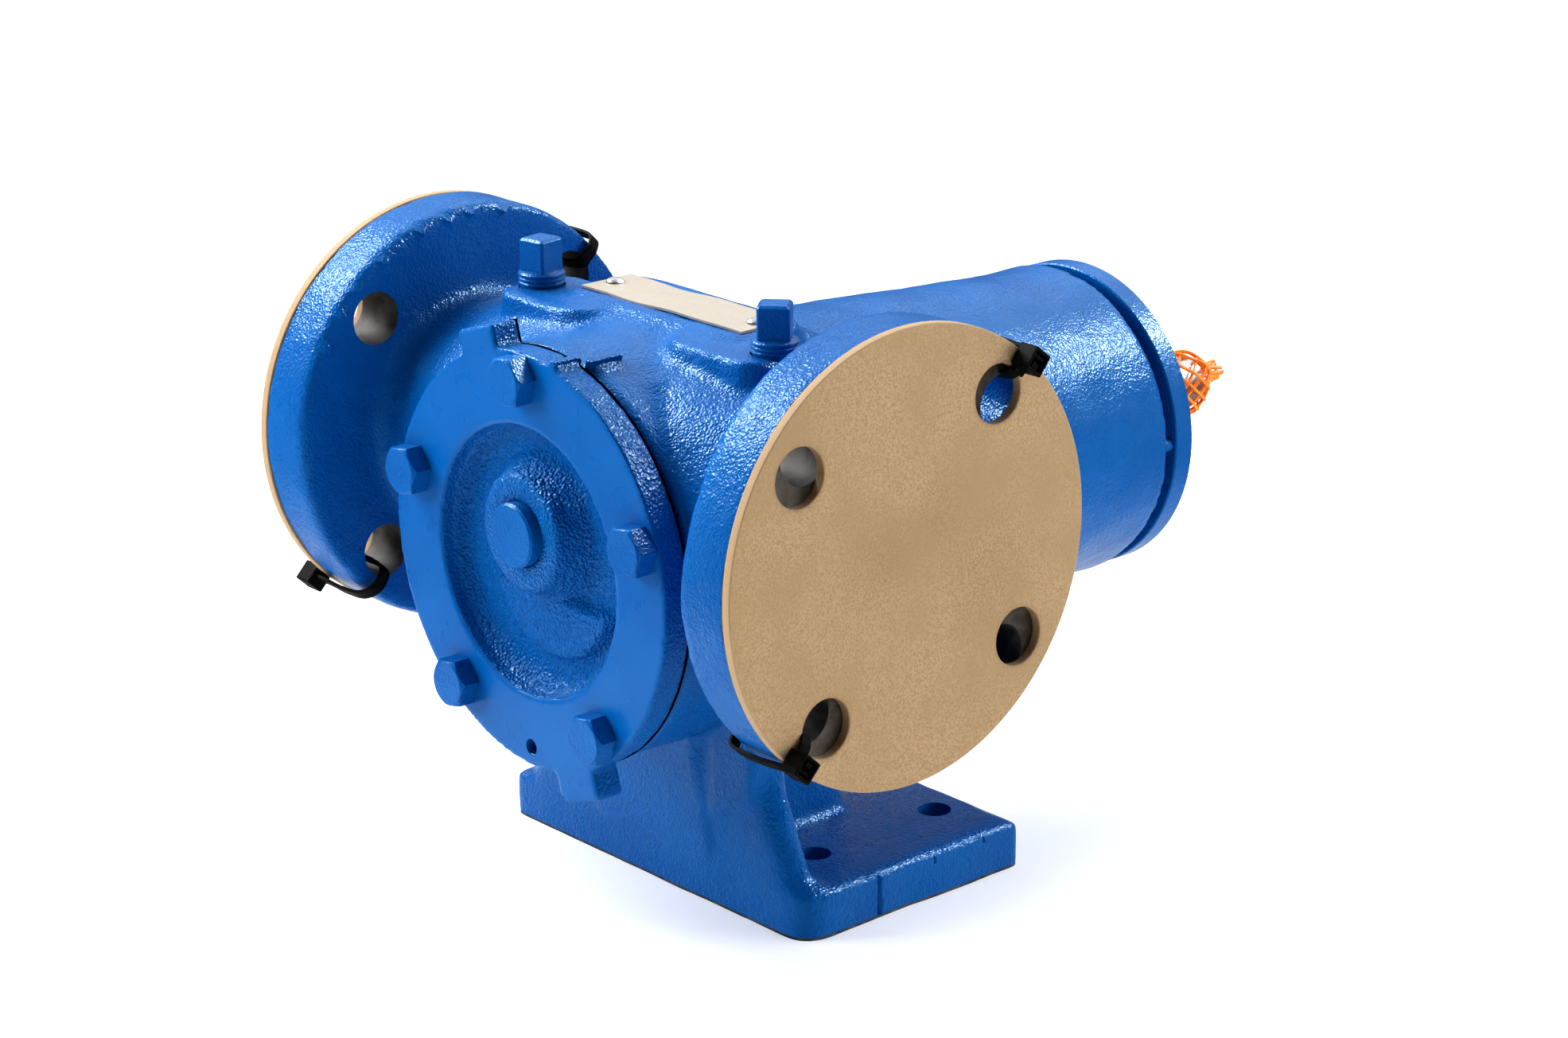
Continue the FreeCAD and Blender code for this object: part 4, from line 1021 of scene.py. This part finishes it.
@dataclass
class CastHead(Casting):
    """Head casting: flat rim, rough dish with its boss and ears; the crescent behind keeps its machined shape."""

    voxel: float = 0.0010
    smoothing: int = 2
    lump: Pair = (0.006, 0.0005)
    wave: Pair = (0.03, 0.0006)
    level: float = 0.0008
    edge_level: float = 0.00012
    level_ring: Pair = (0.0490, 0.0712)
    rim_radius: float = 0.07235
    dish_radius: float = 0.0474
    stock: float = 0.002
    stopper: float = 0.0008
    ring_gap: float = 0.0014
    ear_root: float = 0.004
    bolt_circle: float = 0.0635
    bolt_hole: float = 0.00585
    pin_hole: float = 0.0111
    jack_hole: float = 0.0029
    jack_radius: float = 0.0658
    ear_angle: float = 289.0
    ear_reach: float = 0.0827
    ear_half: float = 0.0097

    def openings(self, low: float, high: float, spare: float) -> Shape:
        """Makes bars for the pin, bolt and jack holes.

        Args:
            low: Place of their front ends along Y.
            high: Place of their back ends.
            spare: Width added to each hole's radius.

        Returns:
            The bars.
        """
        shape = bmesh.new()
        add_bar(shape, Axis.Y, low, high, self.pin_hole + spare, PIN_LINE, 64)
        for k in range(5):
            angle = math.radians(90 + 72 * k)
            line = (self.bolt_circle * math.cos(angle), 0.0, SHAFT_Z + self.bolt_circle * math.sin(angle))
            add_bar(shape, Axis.Y, low, high, self.bolt_hole + spare, line, 32)
        add_bar(shape, Axis.Y, low, high, self.jack_hole + spare, (0.0, 0.0, SHAFT_Z - self.jack_radius), 24)
        return shape

    def add_ring(self, shape: Shape, front: float, back: float, inner: float, outer: float) -> None:
        """Adds a flat ring about the shaft's axis."""
        add_turned(shape, [(front, inner), (front, outer), (back, outer), (back, inner)], Axis.Y, SHAFT_LINE)

    def raw_shape(self) -> Shape:
        """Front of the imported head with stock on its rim, its holes stopped and its lower ear filled out.

        Returns:
            The raw shape.
        """
        shape = head_side(1.0)
        merge_shape(shape, self.openings(HEAD_FACE + 0.0003, HEAD_BACK - 0.0002, self.stopper))
        self.add_ring(shape, HEAD_FACE - self.stock, HEAD_FACE + 0.001, self.dish_radius + self.ring_gap,
                      self.rim_radius)
        ear = add_box(shape, (self.rim_radius - self.ear_root, HEAD_FACE + 0.0001, -self.ear_half),
                      (self.ear_reach, HEAD_BACK - 0.0001, self.ear_half))
        bmesh.ops.transform(shape, matrix=about_shaft(self.ear_angle), verts=ear)
        bmesh.ops.recalc_face_normals(shape, faces=shape.faces)
        return shape

    def build(self) -> None:
        """Builds the head's visible front and the crescent behind it."""
        front = scratch_piece("raw_head", self.raw_shape())
        self.roughen(front)
        facing, backing = bmesh.new(), bmesh.new()
        self.add_ring(facing, HEAD_FACE - 0.01, HEAD_FACE, self.dish_radius - 0.001, 0.09)
        add_box(backing, (-0.1, HEAD_BACK, 0.0), (0.1, HEAD_BACK + 0.02, 0.3))
        self.cut(front, facing, backing)
        self.paint(front)
        self.cut(front, self.openings(HEAD_FACE - 0.01, HEAD_BACK + 0.01, 0.0))
        skin = lift_shape(front)
        for vert in skin.verts:
            inside = self.level_ring[0] < math.hypot(vert.co.x, vert.co.z - SHAFT_Z) < self.level_ring[1]
            if abs(vert.co.y - HEAD_FACE) < (self.level if inside else self.edge_level):
                vert.co.y = HEAD_FACE
        publish("head_skin", skin, ("head_enamel",), replaces=("head",), crease=45.0)
        publish("head_crescent", head_side(-1.0), ("bare_iron",))


@dataclass
class HeadGasket:
    """Gasket between head and casing, set back in the painted groove."""

    inner: float = 0.0522
    outer: float = 0.0712

    def build(self) -> None:
        """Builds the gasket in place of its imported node."""
        shape = bmesh.new()
        add_turned(shape, [(HEAD_BACK, self.inner), (HEAD_BACK, self.outer), (CASING_FACE, self.outer),
                           (CASING_FACE, self.inner)], Axis.Y, SHAFT_LINE)
        bmesh.ops.recalc_face_normals(shape, faces=shape.faces)
        publish("gasket_ring", shape, ("trim_enamel",), replaces=("head_gasket",))


@dataclass
class AlignmentBar:
    """Short raised bar that marks how the head sits on the casing."""

    name: str
    angle: float
    span: Pair
    width: float = 0.0024
    reach: float = 0.0750
    depth: float = 0.006
    edge: float = 0.0005

    def build(self) -> None:
        """Builds the bar."""
        shape = bmesh.new()
        half = self.width / 2
        add_box(shape, (self.reach - self.depth, self.span[0], -half), (self.reach, self.span[1], half))
        soften(shape, self.edge, 3)
        bmesh.ops.transform(shape, matrix=about_shaft(self.angle), verts=shape.verts)
        publish(self.name, shape, ("cast_enamel",))


@dataclass
class PipePlug:
    """Square-head pipe plug with three turns of thread showing."""

    side: Side
    turn: float
    bite: float = 0.009
    thread_radius: float = 0.0082
    thread_depth: float = 0.0006
    show: float = 0.005
    square: float = 0.0111
    height: float = 0.0108
    corner: float = 0.0013
    chamfer: Pair = (0.0011, 0.0009)
    edge: float = 0.0003

    def build(self) -> None:
        """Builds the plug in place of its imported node."""
        shape = bmesh.new()
        pitch = self.show / 3.2
        root = self.thread_radius - self.thread_depth
        corners = [(-self.bite, 0.0), (-self.bite, root)]
        for start in (0.0003 + pitch * k for k in range(3)):
            corners += [(start, root), (start + pitch * 0.28, self.thread_radius),
                        (start + pitch * 0.55, self.thread_radius), (start + pitch * 0.85, root)]
        corners += [(self.show, root - 0.0004), (self.show + 0.0004, root - 0.002), (self.show + 0.0004, 0.0)]
        add_turned(shape, corners, Axis.Z, (0.0, 0.0, 0.0), 48)
        half = self.square / 2
        head = bmesh.new()
        add_box(head, (-half, -half, self.show), (half, half, self.show + self.height))
        round_off(head, upright_edges(head), self.corner, 3)
        head.normal_update()
        top = [face for face in head.faces if face.normal.z > 0.9]
        bmesh.ops.inset_region(head, faces=top, thickness=self.chamfer[0], depth=self.chamfer[1],
                               use_even_offset=True)
        soften(head, self.edge, 2, 25.0)
        merge_shape(shape, head)
        place = Matrix.Translation((self.side.value * PLUG_X, PORT_Y, SHELF_Z)) @ Matrix.Rotation(
            math.radians(self.turn), 4, "Z")
        bmesh.ops.transform(shape, matrix=place, verts=shape.verts)
        side = self.side.name.lower()
        publish(side + "_plug", shape, ("trim_enamel",), replaces=(side + "_pipe_plug",), crease=35.0)


@dataclass
class CableTie:
    """Nylon tie that holds a board cover: a strap through one bolt hole, round the rim and into its own head."""

    side: Side
    upper: bool
    angle: float
    head_out: float
    bulge: float
    rim_run: float = 0.0784
    hole_run: float = 0.0656
    slot_out: float = 0.0776
    width: float = 0.0048
    thickness: float = 0.0012
    head_size: float = 0.0078
    head_base: float = 0.0041
    back: float = -0.0217
    steps: int = 7
    strap_edge: float = 0.0002
    head_edge: float = 0.00055

    def path(self) -> list[Vector]:
        """Lays the strap's middle line, X outwards from the port axis and Z along it.

        Returns:
            Points of the line, from the lock round the rim and back to it.
        """
        near, hole, rim = self.head_out - self.head_size / 2, self.hole_run, self.rim_run
        knots = [(near + 0.0012, self.head_base + 0.0018), (near - 0.0012, self.head_base + 0.0014),
                 (hole + 0.0022, self.head_base + 0.0004), (hole + 0.0002, 0.0012), (hole, -0.008),
                 (hole, self.back + 0.004), (hole + 0.0014, self.back - self.bulge * 0.6),
                 (hole + 0.0058, self.back - self.bulge), (rim - 0.0030, self.back - self.bulge * 0.8),
                 (rim + 0.0002, self.back + 0.001), (rim + 0.0008, self.back * 0.5), (rim + 0.0003, -0.001),
                 (max(self.slot_out, self.head_out), self.head_base + 0.002)]
        line = [Vector((out, 0.0, along)) for out, along in knots]
        line = [2 * line[0] - line[1], *line, 2 * line[-1] - line[-2]]
        points = []
        for a, b, c, d in zip(line, line[1:], line[2:], line[3:]):
            points += interpolate_bezier(b, b + (c - a) / 6, c - (d - b) / 6, c, self.steps)[:-1]
        return [*points, line[-2]]

    def strap(self, shape: Shape) -> None:
        """Draws the strap's section along its path.

        Args:
            shape: Mesh that takes it.
        """
        points = self.path()
        across = Axis.Y.vector
        stations = []
        for before, here, after in zip([points[0], *points], points, [*points[1:], points[-1]]):
            forward = (after - before).normalized()
            turn = Matrix((across.cross(forward), across, forward)).transposed().to_4x4()
            stations.append(Matrix.Translation(here) @ turn)
        size = Matrix.Diagonal((self.thickness, self.width, 1.0, 1.0))
        made = bmesh.ops.create_grid(shape, x_segments=1, y_segments=1, size=0.5, matrix=stations[0] @ size)
        face = made["verts"][0].link_faces[0]
        for last, new in zip(stations, stations[1:]):
            made = bmesh.ops.extrude_face_region(shape, geom=[face])["geom"]
            verts = [item for item in made if isinstance(item, bmesh.types.BMVert)]
            face = next(item for item in made if isinstance(item, bmesh.types.BMFace))
            bmesh.ops.transform(shape, matrix=new @ last.inverted(), verts=verts)

    def lock(self, shape: Shape) -> None:
        """Adds the ratchet head on the board, its slot and pawl facing outwards.

        Args:
            shape: Mesh that takes it.
        """
        box = bmesh.new()
        half = self.head_size / 2
        middle = Vector((self.head_out, 0.0, self.head_base + half))
        reach = Vector((half, half, half))
        add_box(box, middle - reach, middle + reach)
        box.normal_update()
        face = [f for f in box.faces if f.normal.z > 0.9]
        bmesh.ops.inset_region(box, faces=face, thickness=0.0015, depth=0.0)
        bmesh.ops.inset_region(box, faces=face, thickness=0.0001, depth=-0.0032)
        soften(box, self.head_edge, 3)
        side = self.width / 2
        for low, high in (((-0.0024, -0.0013, -0.001), (-0.0006, 0.0013, half - 0.0008)),
                          ((0.0008, -side, -0.001), (0.0008 + self.thickness, side, half - 0.001))):
            add_box(box, middle + Vector(low), middle + Vector(high))
        merge_shape(shape, box)

    def build(self) -> None:
        """Builds the tie."""
        shape = bmesh.new()
        self.strap(shape)
        bmesh.ops.recalc_face_normals(shape, faces=shape.faces)
        soften(shape, self.strap_edge, 1, 60.0)
        self.lock(shape)
        angle = math.radians(self.angle)
        out = Vector((0.0, math.cos(angle), math.sin(angle)))
        along = Axis.X.vector * self.side.value
        turn = Matrix((out, along.cross(out), along)).transposed().to_4x4()
        place = Matrix.Translation((self.side.value * FLANGE_FACE, PORT_Y, PORT_Z)) @ turn
        bmesh.ops.transform(shape, matrix=place, verts=shape.verts)
        bmesh.ops.recalc_face_normals(shape, faces=shape.faces)
        name = self.side.name.lower() + ("_upper" if self.upper else "_lower") + "_tie"
        publish(name, shape, ("nylon",))


@dataclass
class NetSleeve:
    """Orange net drawn over the shaft's end, with its tip gathered and frayed."""

    start: float = 0.1562
    length: float = 0.0690
    radius: float = 0.0117
    strands: int = 11
    wire: float = 0.00074
    sides: int = 6
    turn: float = 300.0
    steps: int = 84
    fray: float = 0.0036
    closing: float = 0.78
    closed: float = 0.985
    neck: float = 0.27
    lift: float = 0.0006
    slack: tuple[Point, ...] = ((0.045, 3.0, 7.0), (0.03, 7.0, -11.0))

    def swell(self, place: Vector, phase: float) -> Vector:
        """Moves a point of the even tube to where the slack net lies.

        Args:
            place: The point.
            phase: Angle that sets one strand's fray apart from the others'.

        Returns:
            The new place.
        """
        along = (place.y - self.start) / self.length
        angle = math.atan2(place.z - SHAFT_Z, place.x)
        size = sum((share * math.sin(round_rate * angle + long_rate * along)
                    for share, round_rate, long_rate in self.slack), 1.0)
        close = min(1.0, max(0.0, (along - self.closing) / (self.closed - self.closing)))
        size *= 1.0 - (1.0 - self.neck) * close * close * (3.0 - 2.0 * close)
        size *= 1.0 + max(0.0, along - self.closed) * (0.5 + 3.0 * math.sin(phase * 7.0))
        reach = math.hypot(place.x, place.z - SHAFT_Z) * size
        y = place.y - 0.35 * max(0.0, place.y - self.start - self.length) * (1.0 + math.sin(phase * 5.0))
        return Vector((reach * math.cos(angle), y, SHAFT_Z + reach * math.sin(angle) + self.lift * close))

    def strand(self, shape: Shape, k: int, way: int) -> None:
        """Winds one strand.

        Args:
            shape: Mesh that takes it.
            k: Its number.
            way: 1 or -1, the way it winds.
        """
        phase = math.tau * k / self.strands + (0.1 if way > 0 else 0.0) + 0.09 * math.sin(4.0 * k + way)
        radius = self.radius + (self.wire if way > 0 else 0.0)
        centre = Vector((radius * math.cos(phase), self.start, SHAFT_Z + radius * math.sin(phase)))
        before = set(shape.verts)
        verts = bmesh.ops.create_circle(shape, cap_ends=False, segments=self.sides, radius=self.wire,
                                        matrix=Matrix.Translation(centre) @ AXIS_TURN[Axis.Y])["verts"]
        loop = list({edge for vert in verts for edge in vert.link_edges})
        bmesh.ops.spin(shape, geom=verts + loop, cent=(0.0, self.start, SHAFT_Z), axis=(0.0, 1.0, 0.0),
                       dvec=(0.0, (self.length + self.fray) / self.steps, 0.0), angle=way * math.radians(self.turn),
                       steps=self.steps)
        made = [vert for vert in shape.verts if vert not in before]
        for ring in zip(*[iter(made)] * self.sides):
            middle = sum((vert.co for vert in ring), Vector()) / self.sides
            shift = self.swell(middle, phase * 1.7 + way) - middle
            for vert in ring:
                vert.co += shift

    def build(self) -> None:
        """Builds the net from two crossing sets of helical strands."""
        shape = bmesh.new()
        for way in (-1, 1):
            for k in range(self.strands):
                self.strand(shape, k, way)
        bmesh.ops.holes_fill(shape, edges=[edge for edge in shape.edges if edge.is_boundary])
        bmesh.ops.recalc_face_normals(shape, faces=shape.faces)
        publish("shaft_net", shape, ("orange_net",), body=SHAFT_BODY, crease=80.0)


@dataclass
class NamePlate:
    """Thin bare plate that follows the uneven pad, held by two domed drive screws."""

    length: float = 0.084
    width: float = 0.022
    y: float = -0.0389
    z: float = 0.2044
    thickness: float = 0.0008
    screw_x: float = 0.037
    screw_radius: float = 0.0033
    bows: tuple[Point, ...] = ((95.0, 0.0, 0.00025), (210.0, 1.0, 0.00012))
    sway: Point = (160.0, 0.6, 0.00022)

    def build(self) -> None:
        """Builds the plate and its screws."""
        top = self.z + self.thickness
        shape = bmesh.new()
        size = Matrix.Translation((0.0, self.y, top)) @ Matrix.Diagonal((self.length, self.width, 1.0, 1.0))
        bmesh.ops.create_grid(shape, x_segments=56, y_segments=14, size=0.5, matrix=size)
        for vert in shape.verts:
            bow = sum(math.sin(vert.co.x * rate + start) * depth for rate, start, depth in self.bows)
            vert.co.z += bow * (0.4 + abs(vert.co.y - self.y) / self.width)
            rate, start, depth = self.sway
            vert.co.y += math.sin(vert.co.x * rate + start) * depth
        bmesh.ops.solidify(shape, geom=list(shape.faces), thickness=self.thickness)
        bmesh.ops.recalc_face_normals(shape, faces=shape.faces)
        publish("plate_sheet", shape, ("plate_metal",), replaces=("name_plate",))
        screws = bmesh.new()
        outline = [(-0.006, 0.0), (-0.006, 0.0014), (-0.0001, 0.0014), (-0.0001, self.screw_radius),
                   (0.0004, self.screw_radius), (0.0010, self.screw_radius * 0.86),
                   (0.0015, self.screw_radius * 0.55), (0.0017, 0.0)]
        for x in (-self.screw_x, self.screw_x):
            add_turned(screws, outline, Axis.Z, (x, self.y, top), 32)
        bmesh.ops.recalc_face_normals(screws, faces=screws.faces)
        publish("drive_screws", screws, ("ground_steel",), replaces=("plate_screws",), crease=60.0)


EDGE_WIDTHS = {
    "head_capscrews": 0.0006, "idler_pin": 0.0006, "bearing_carrier": 0.0006, "bearing_end_cap": 0.0003,
    "left_port_cover": 0.0005, "right_port_cover": 0.0005,
}


def round_edges(piece: Piece, width: float) -> None:
    """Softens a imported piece's sharp edges by modifiers.

    Args:
        piece: The piece.
        width: Width of the bevel.
    """
    piece.modifiers.new("joined", "WELD").merge_threshold = SAME_SPOT
    bevel = piece.modifiers.new("edges", "BEVEL")
    bevel.width = width
    bevel.segments = 2
    bevel.limit_method = "ANGLE"
    bevel.angle_limit = math.radians(25)
    piece.modifiers.new("weighted", "WEIGHTED_NORMAL").keep_sharp = False


def dress_nodes() -> None:
    """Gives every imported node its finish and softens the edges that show."""
    for name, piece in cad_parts.items():
        piece.data.materials.clear()
        piece.data.materials.append(finish(NODE_FINISH.get(name, OTHER_NODES)))
        if name in EDGE_WIDTHS:
            round_edges(piece, EDGE_WIDTHS[name])
        LOG.info("dressed node %s", name)


@dataclass
class Softbox:
    """Square soft light that faces the pump, for matte surfaces or for reflections alone."""

    name: str
    toward: Point
    distance: float
    size: float
    power: float
    lights: Lights = Lights.MATTE
    centre: Point = (0.0, 0.0, 0.11)

    def build(self) -> None:
        """Hangs the light."""
        data = bpy.data.lights.new(self.name, "AREA")
        data.shape = "SQUARE"
        data.size = self.size
        data.energy = self.power
        lamp = bpy.data.objects.new(self.name, data)
        bpy.context.scene.collection.objects.link(lamp)
        away = Vector(self.toward).normalized()
        lamp.location = Vector(self.centre) + away * self.distance
        lamp.rotation_euler = away.to_track_quat("Z", "Y").to_euler()
        lamp.visible_glossy = self.lights is Lights.SHINY
        lamp.visible_diffuse = self.lights is Lights.MATTE


@dataclass
class Studio:
    """Plain pale floor, soft lights and the camera at the photograph's angle."""

    yaw: float = 48.79
    pitch: float = 18.04
    roll: float = -0.58
    offset: Point = (0.04297, -0.01567, 1.28052)
    target: Point = (0.0, -0.0519, 0.14736)
    lens: float = 86.3
    floor_size: float = 6.0
    floor_colour: tuple[float, float, float, float] = (0.93, 0.93, 0.94, 1.0)
    floor_glow: float = 0.24
    room_glow: float = 0.10
    backdrop_glow: float = 1.5
    table_reach: Pair = (0.24, 0.42)
    table_dim: float = 0.6
    white_reach: Pair = (0.45, 0.80)
    softboxes: tuple[Softbox, ...] = (
        Softbox("left_fill", (-0.72, -0.26, 0.62), 1.66, 1.0, 30.0),
        Softbox("left_softbox", (-0.68, -0.27, 0.65), 1.66, 0.62, 34.0, Lights.SHINY),
        Softbox("back_softbox", (0.36, 0.67, 0.67), 1.5, 0.42, 30.0, Lights.SHINY),
        Softbox("top_fill", (-0.43, 0.27, 0.86), 1.8, 1.2, 28.0),
        Softbox("right_fill", (0.80, 0.60, 0.06), 1.5, 0.8, 14.0),
        Softbox("front_fill", (-0.62, -0.75, 0.35), 1.7, 0.7, 20.0),
    )

    def camera(self) -> None:
        """Places the camera where the photograph was taken from."""
        yaw, pitch, roll = (math.radians(angle) for angle in (self.yaw, self.pitch, self.roll))
        back = Vector((math.sin(yaw) * math.cos(pitch), -math.cos(yaw) * math.cos(pitch), math.sin(pitch)))
        level = Vector((math.cos(yaw), math.sin(yaw), 0.0))
        upright = back.cross(level)
        right = level * math.cos(roll) + upright * math.sin(roll)
        above = upright * math.cos(roll) - level * math.sin(roll)
        place = right * self.offset[0] + above * self.offset[1] + back * self.offset[2] + Vector(self.target)
        data = bpy.data.cameras.new("photo_camera")
        data.lens = self.lens
        data.sensor_width = 36.0
        data.clip_start = 0.05
        data.clip_end = 50.0
        camera = bpy.data.objects.new("photo_camera", data)
        bpy.context.scene.collection.objects.link(camera)
        camera.matrix_world = Matrix.Translation(place) @ Matrix((right, above, back)).transposed().to_4x4()
        bpy.context.scene.camera = camera

    def floor(self) -> None:
        """Adds the pale floor: reflections see it only near the pump, and the camera sees it white far off."""
        shape = bmesh.new()
        bmesh.ops.create_grid(shape, x_segments=1, y_segments=1, size=self.floor_size)
        floor = scratch_piece("studio_floor", shape)
        cloth = Material("studio_floor")
        cloth.plug(cloth.shader, {"Base Color": self.floor_colour, "Roughness": 0.7,
                                  "Emission Color": (1.0, 1.0, 1.0, 1.0), "Emission Strength": self.floor_glow})
        reach = cloth.node("VectorMath", {0: cloth.place}, operation="LENGTH").outputs["Value"]
        rays = cloth.tree.nodes.new("ShaderNodeLightPath").outputs
        look = cloth.shader.outputs[0]
        for span, ends, ray, glow in ((self.table_reach, (self.table_dim, 1.0), "Is Glossy Ray", self.room_glow),
                                      (self.white_reach, (0.0, 1.0), "Is Camera Ray", 1.0)):
            weight = cloth.reckon("MULTIPLY", cloth.ramp(reach, span, ends), rays[ray])
            plain = cloth.node("Emission", {"Strength": glow}).outputs[0]
            look = cloth.node("MixShader", {0: weight, 1: look, 2: plain}).outputs[0]
        cloth.plug(cloth.tree.nodes["Material Output"], {"Surface": look})
        floor.data.materials.append(cloth.result)

    def world(self) -> None:
        """Makes a white backdrop behind the pump and a dim room in front; the camera sees plain white."""
        world = bpy.data.worlds.new("studio_world")
        world.use_nodes = True
        sky = Wiring(world.node_tree)
        direction = sky.tree.nodes.new("ShaderNodeTexCoord").outputs["Generated"]
        behind = sky.ramp(sky.part(direction, Axis.Y), (-0.1, 0.6), soft=True)
        above = sky.ramp(sky.part(direction, Axis.Z), (0.10, 0.62), soft=True)
        glow = sky.ramp(sky.reckon("MULTIPLY", behind, above), (0.0, 1.0), (self.room_glow, self.backdrop_glow))
        seen = sky.tree.nodes.new("ShaderNodeLightPath").outputs["Is Camera Ray"]
        strength = sky.node("Mix", {"Factor": seen, 2: glow, 3: 1.0}).outputs[0]
        sky.plug(sky.tree.nodes["Background"], {"Color": (1.0, 1.0, 1.0, 1.0), "Strength": strength})
        bpy.context.scene.world = world

    def build(self) -> None:
        """Sets up the whole studio."""
        self.camera()
        self.floor()
        self.world()
        for softbox in self.softboxes:
            softbox.build()
        bpy.context.scene.view_settings.view_transform = "Standard"
        bpy.context.scene.view_settings.look = "Medium High Contrast"
        LOG.info("set up the studio with %d lights", len(self.softboxes))


def main() -> None:
    """Dresses the pump and sets up the studio."""
    logging.basicConfig(level=logging.INFO, format="%(message)s")
    Studio().build()
    dress_nodes()
    for piece in (
        CastCasing(), CastHead(), HeadGasket(),
        AlignmentBar("head_mark", 76.5, (-0.1093, HEAD_BACK)),
        AlignmentBar("casing_mark", 73.5, (CASING_FACE, -0.0836)),
        PipePlug(Side.LEFT, 10.0), PipePlug(Side.RIGHT, 42.0),
        CableTie(Side.LEFT, True, 45.0, 0.0740, 0.0026, 0.0776),
        CableTie(Side.LEFT, False, 226.5, 0.0788, 0.0050),
        CableTie(Side.RIGHT, True, 50.6, 0.0746, 0.0018, 0.0777, 0.0676),
        CableTie(Side.RIGHT, False, 226.3, 0.0757, 0.0018, 0.0780),
        NetSleeve(), NamePlate(),
    ):
        piece.build()


if __name__ == "__main__":
    main()
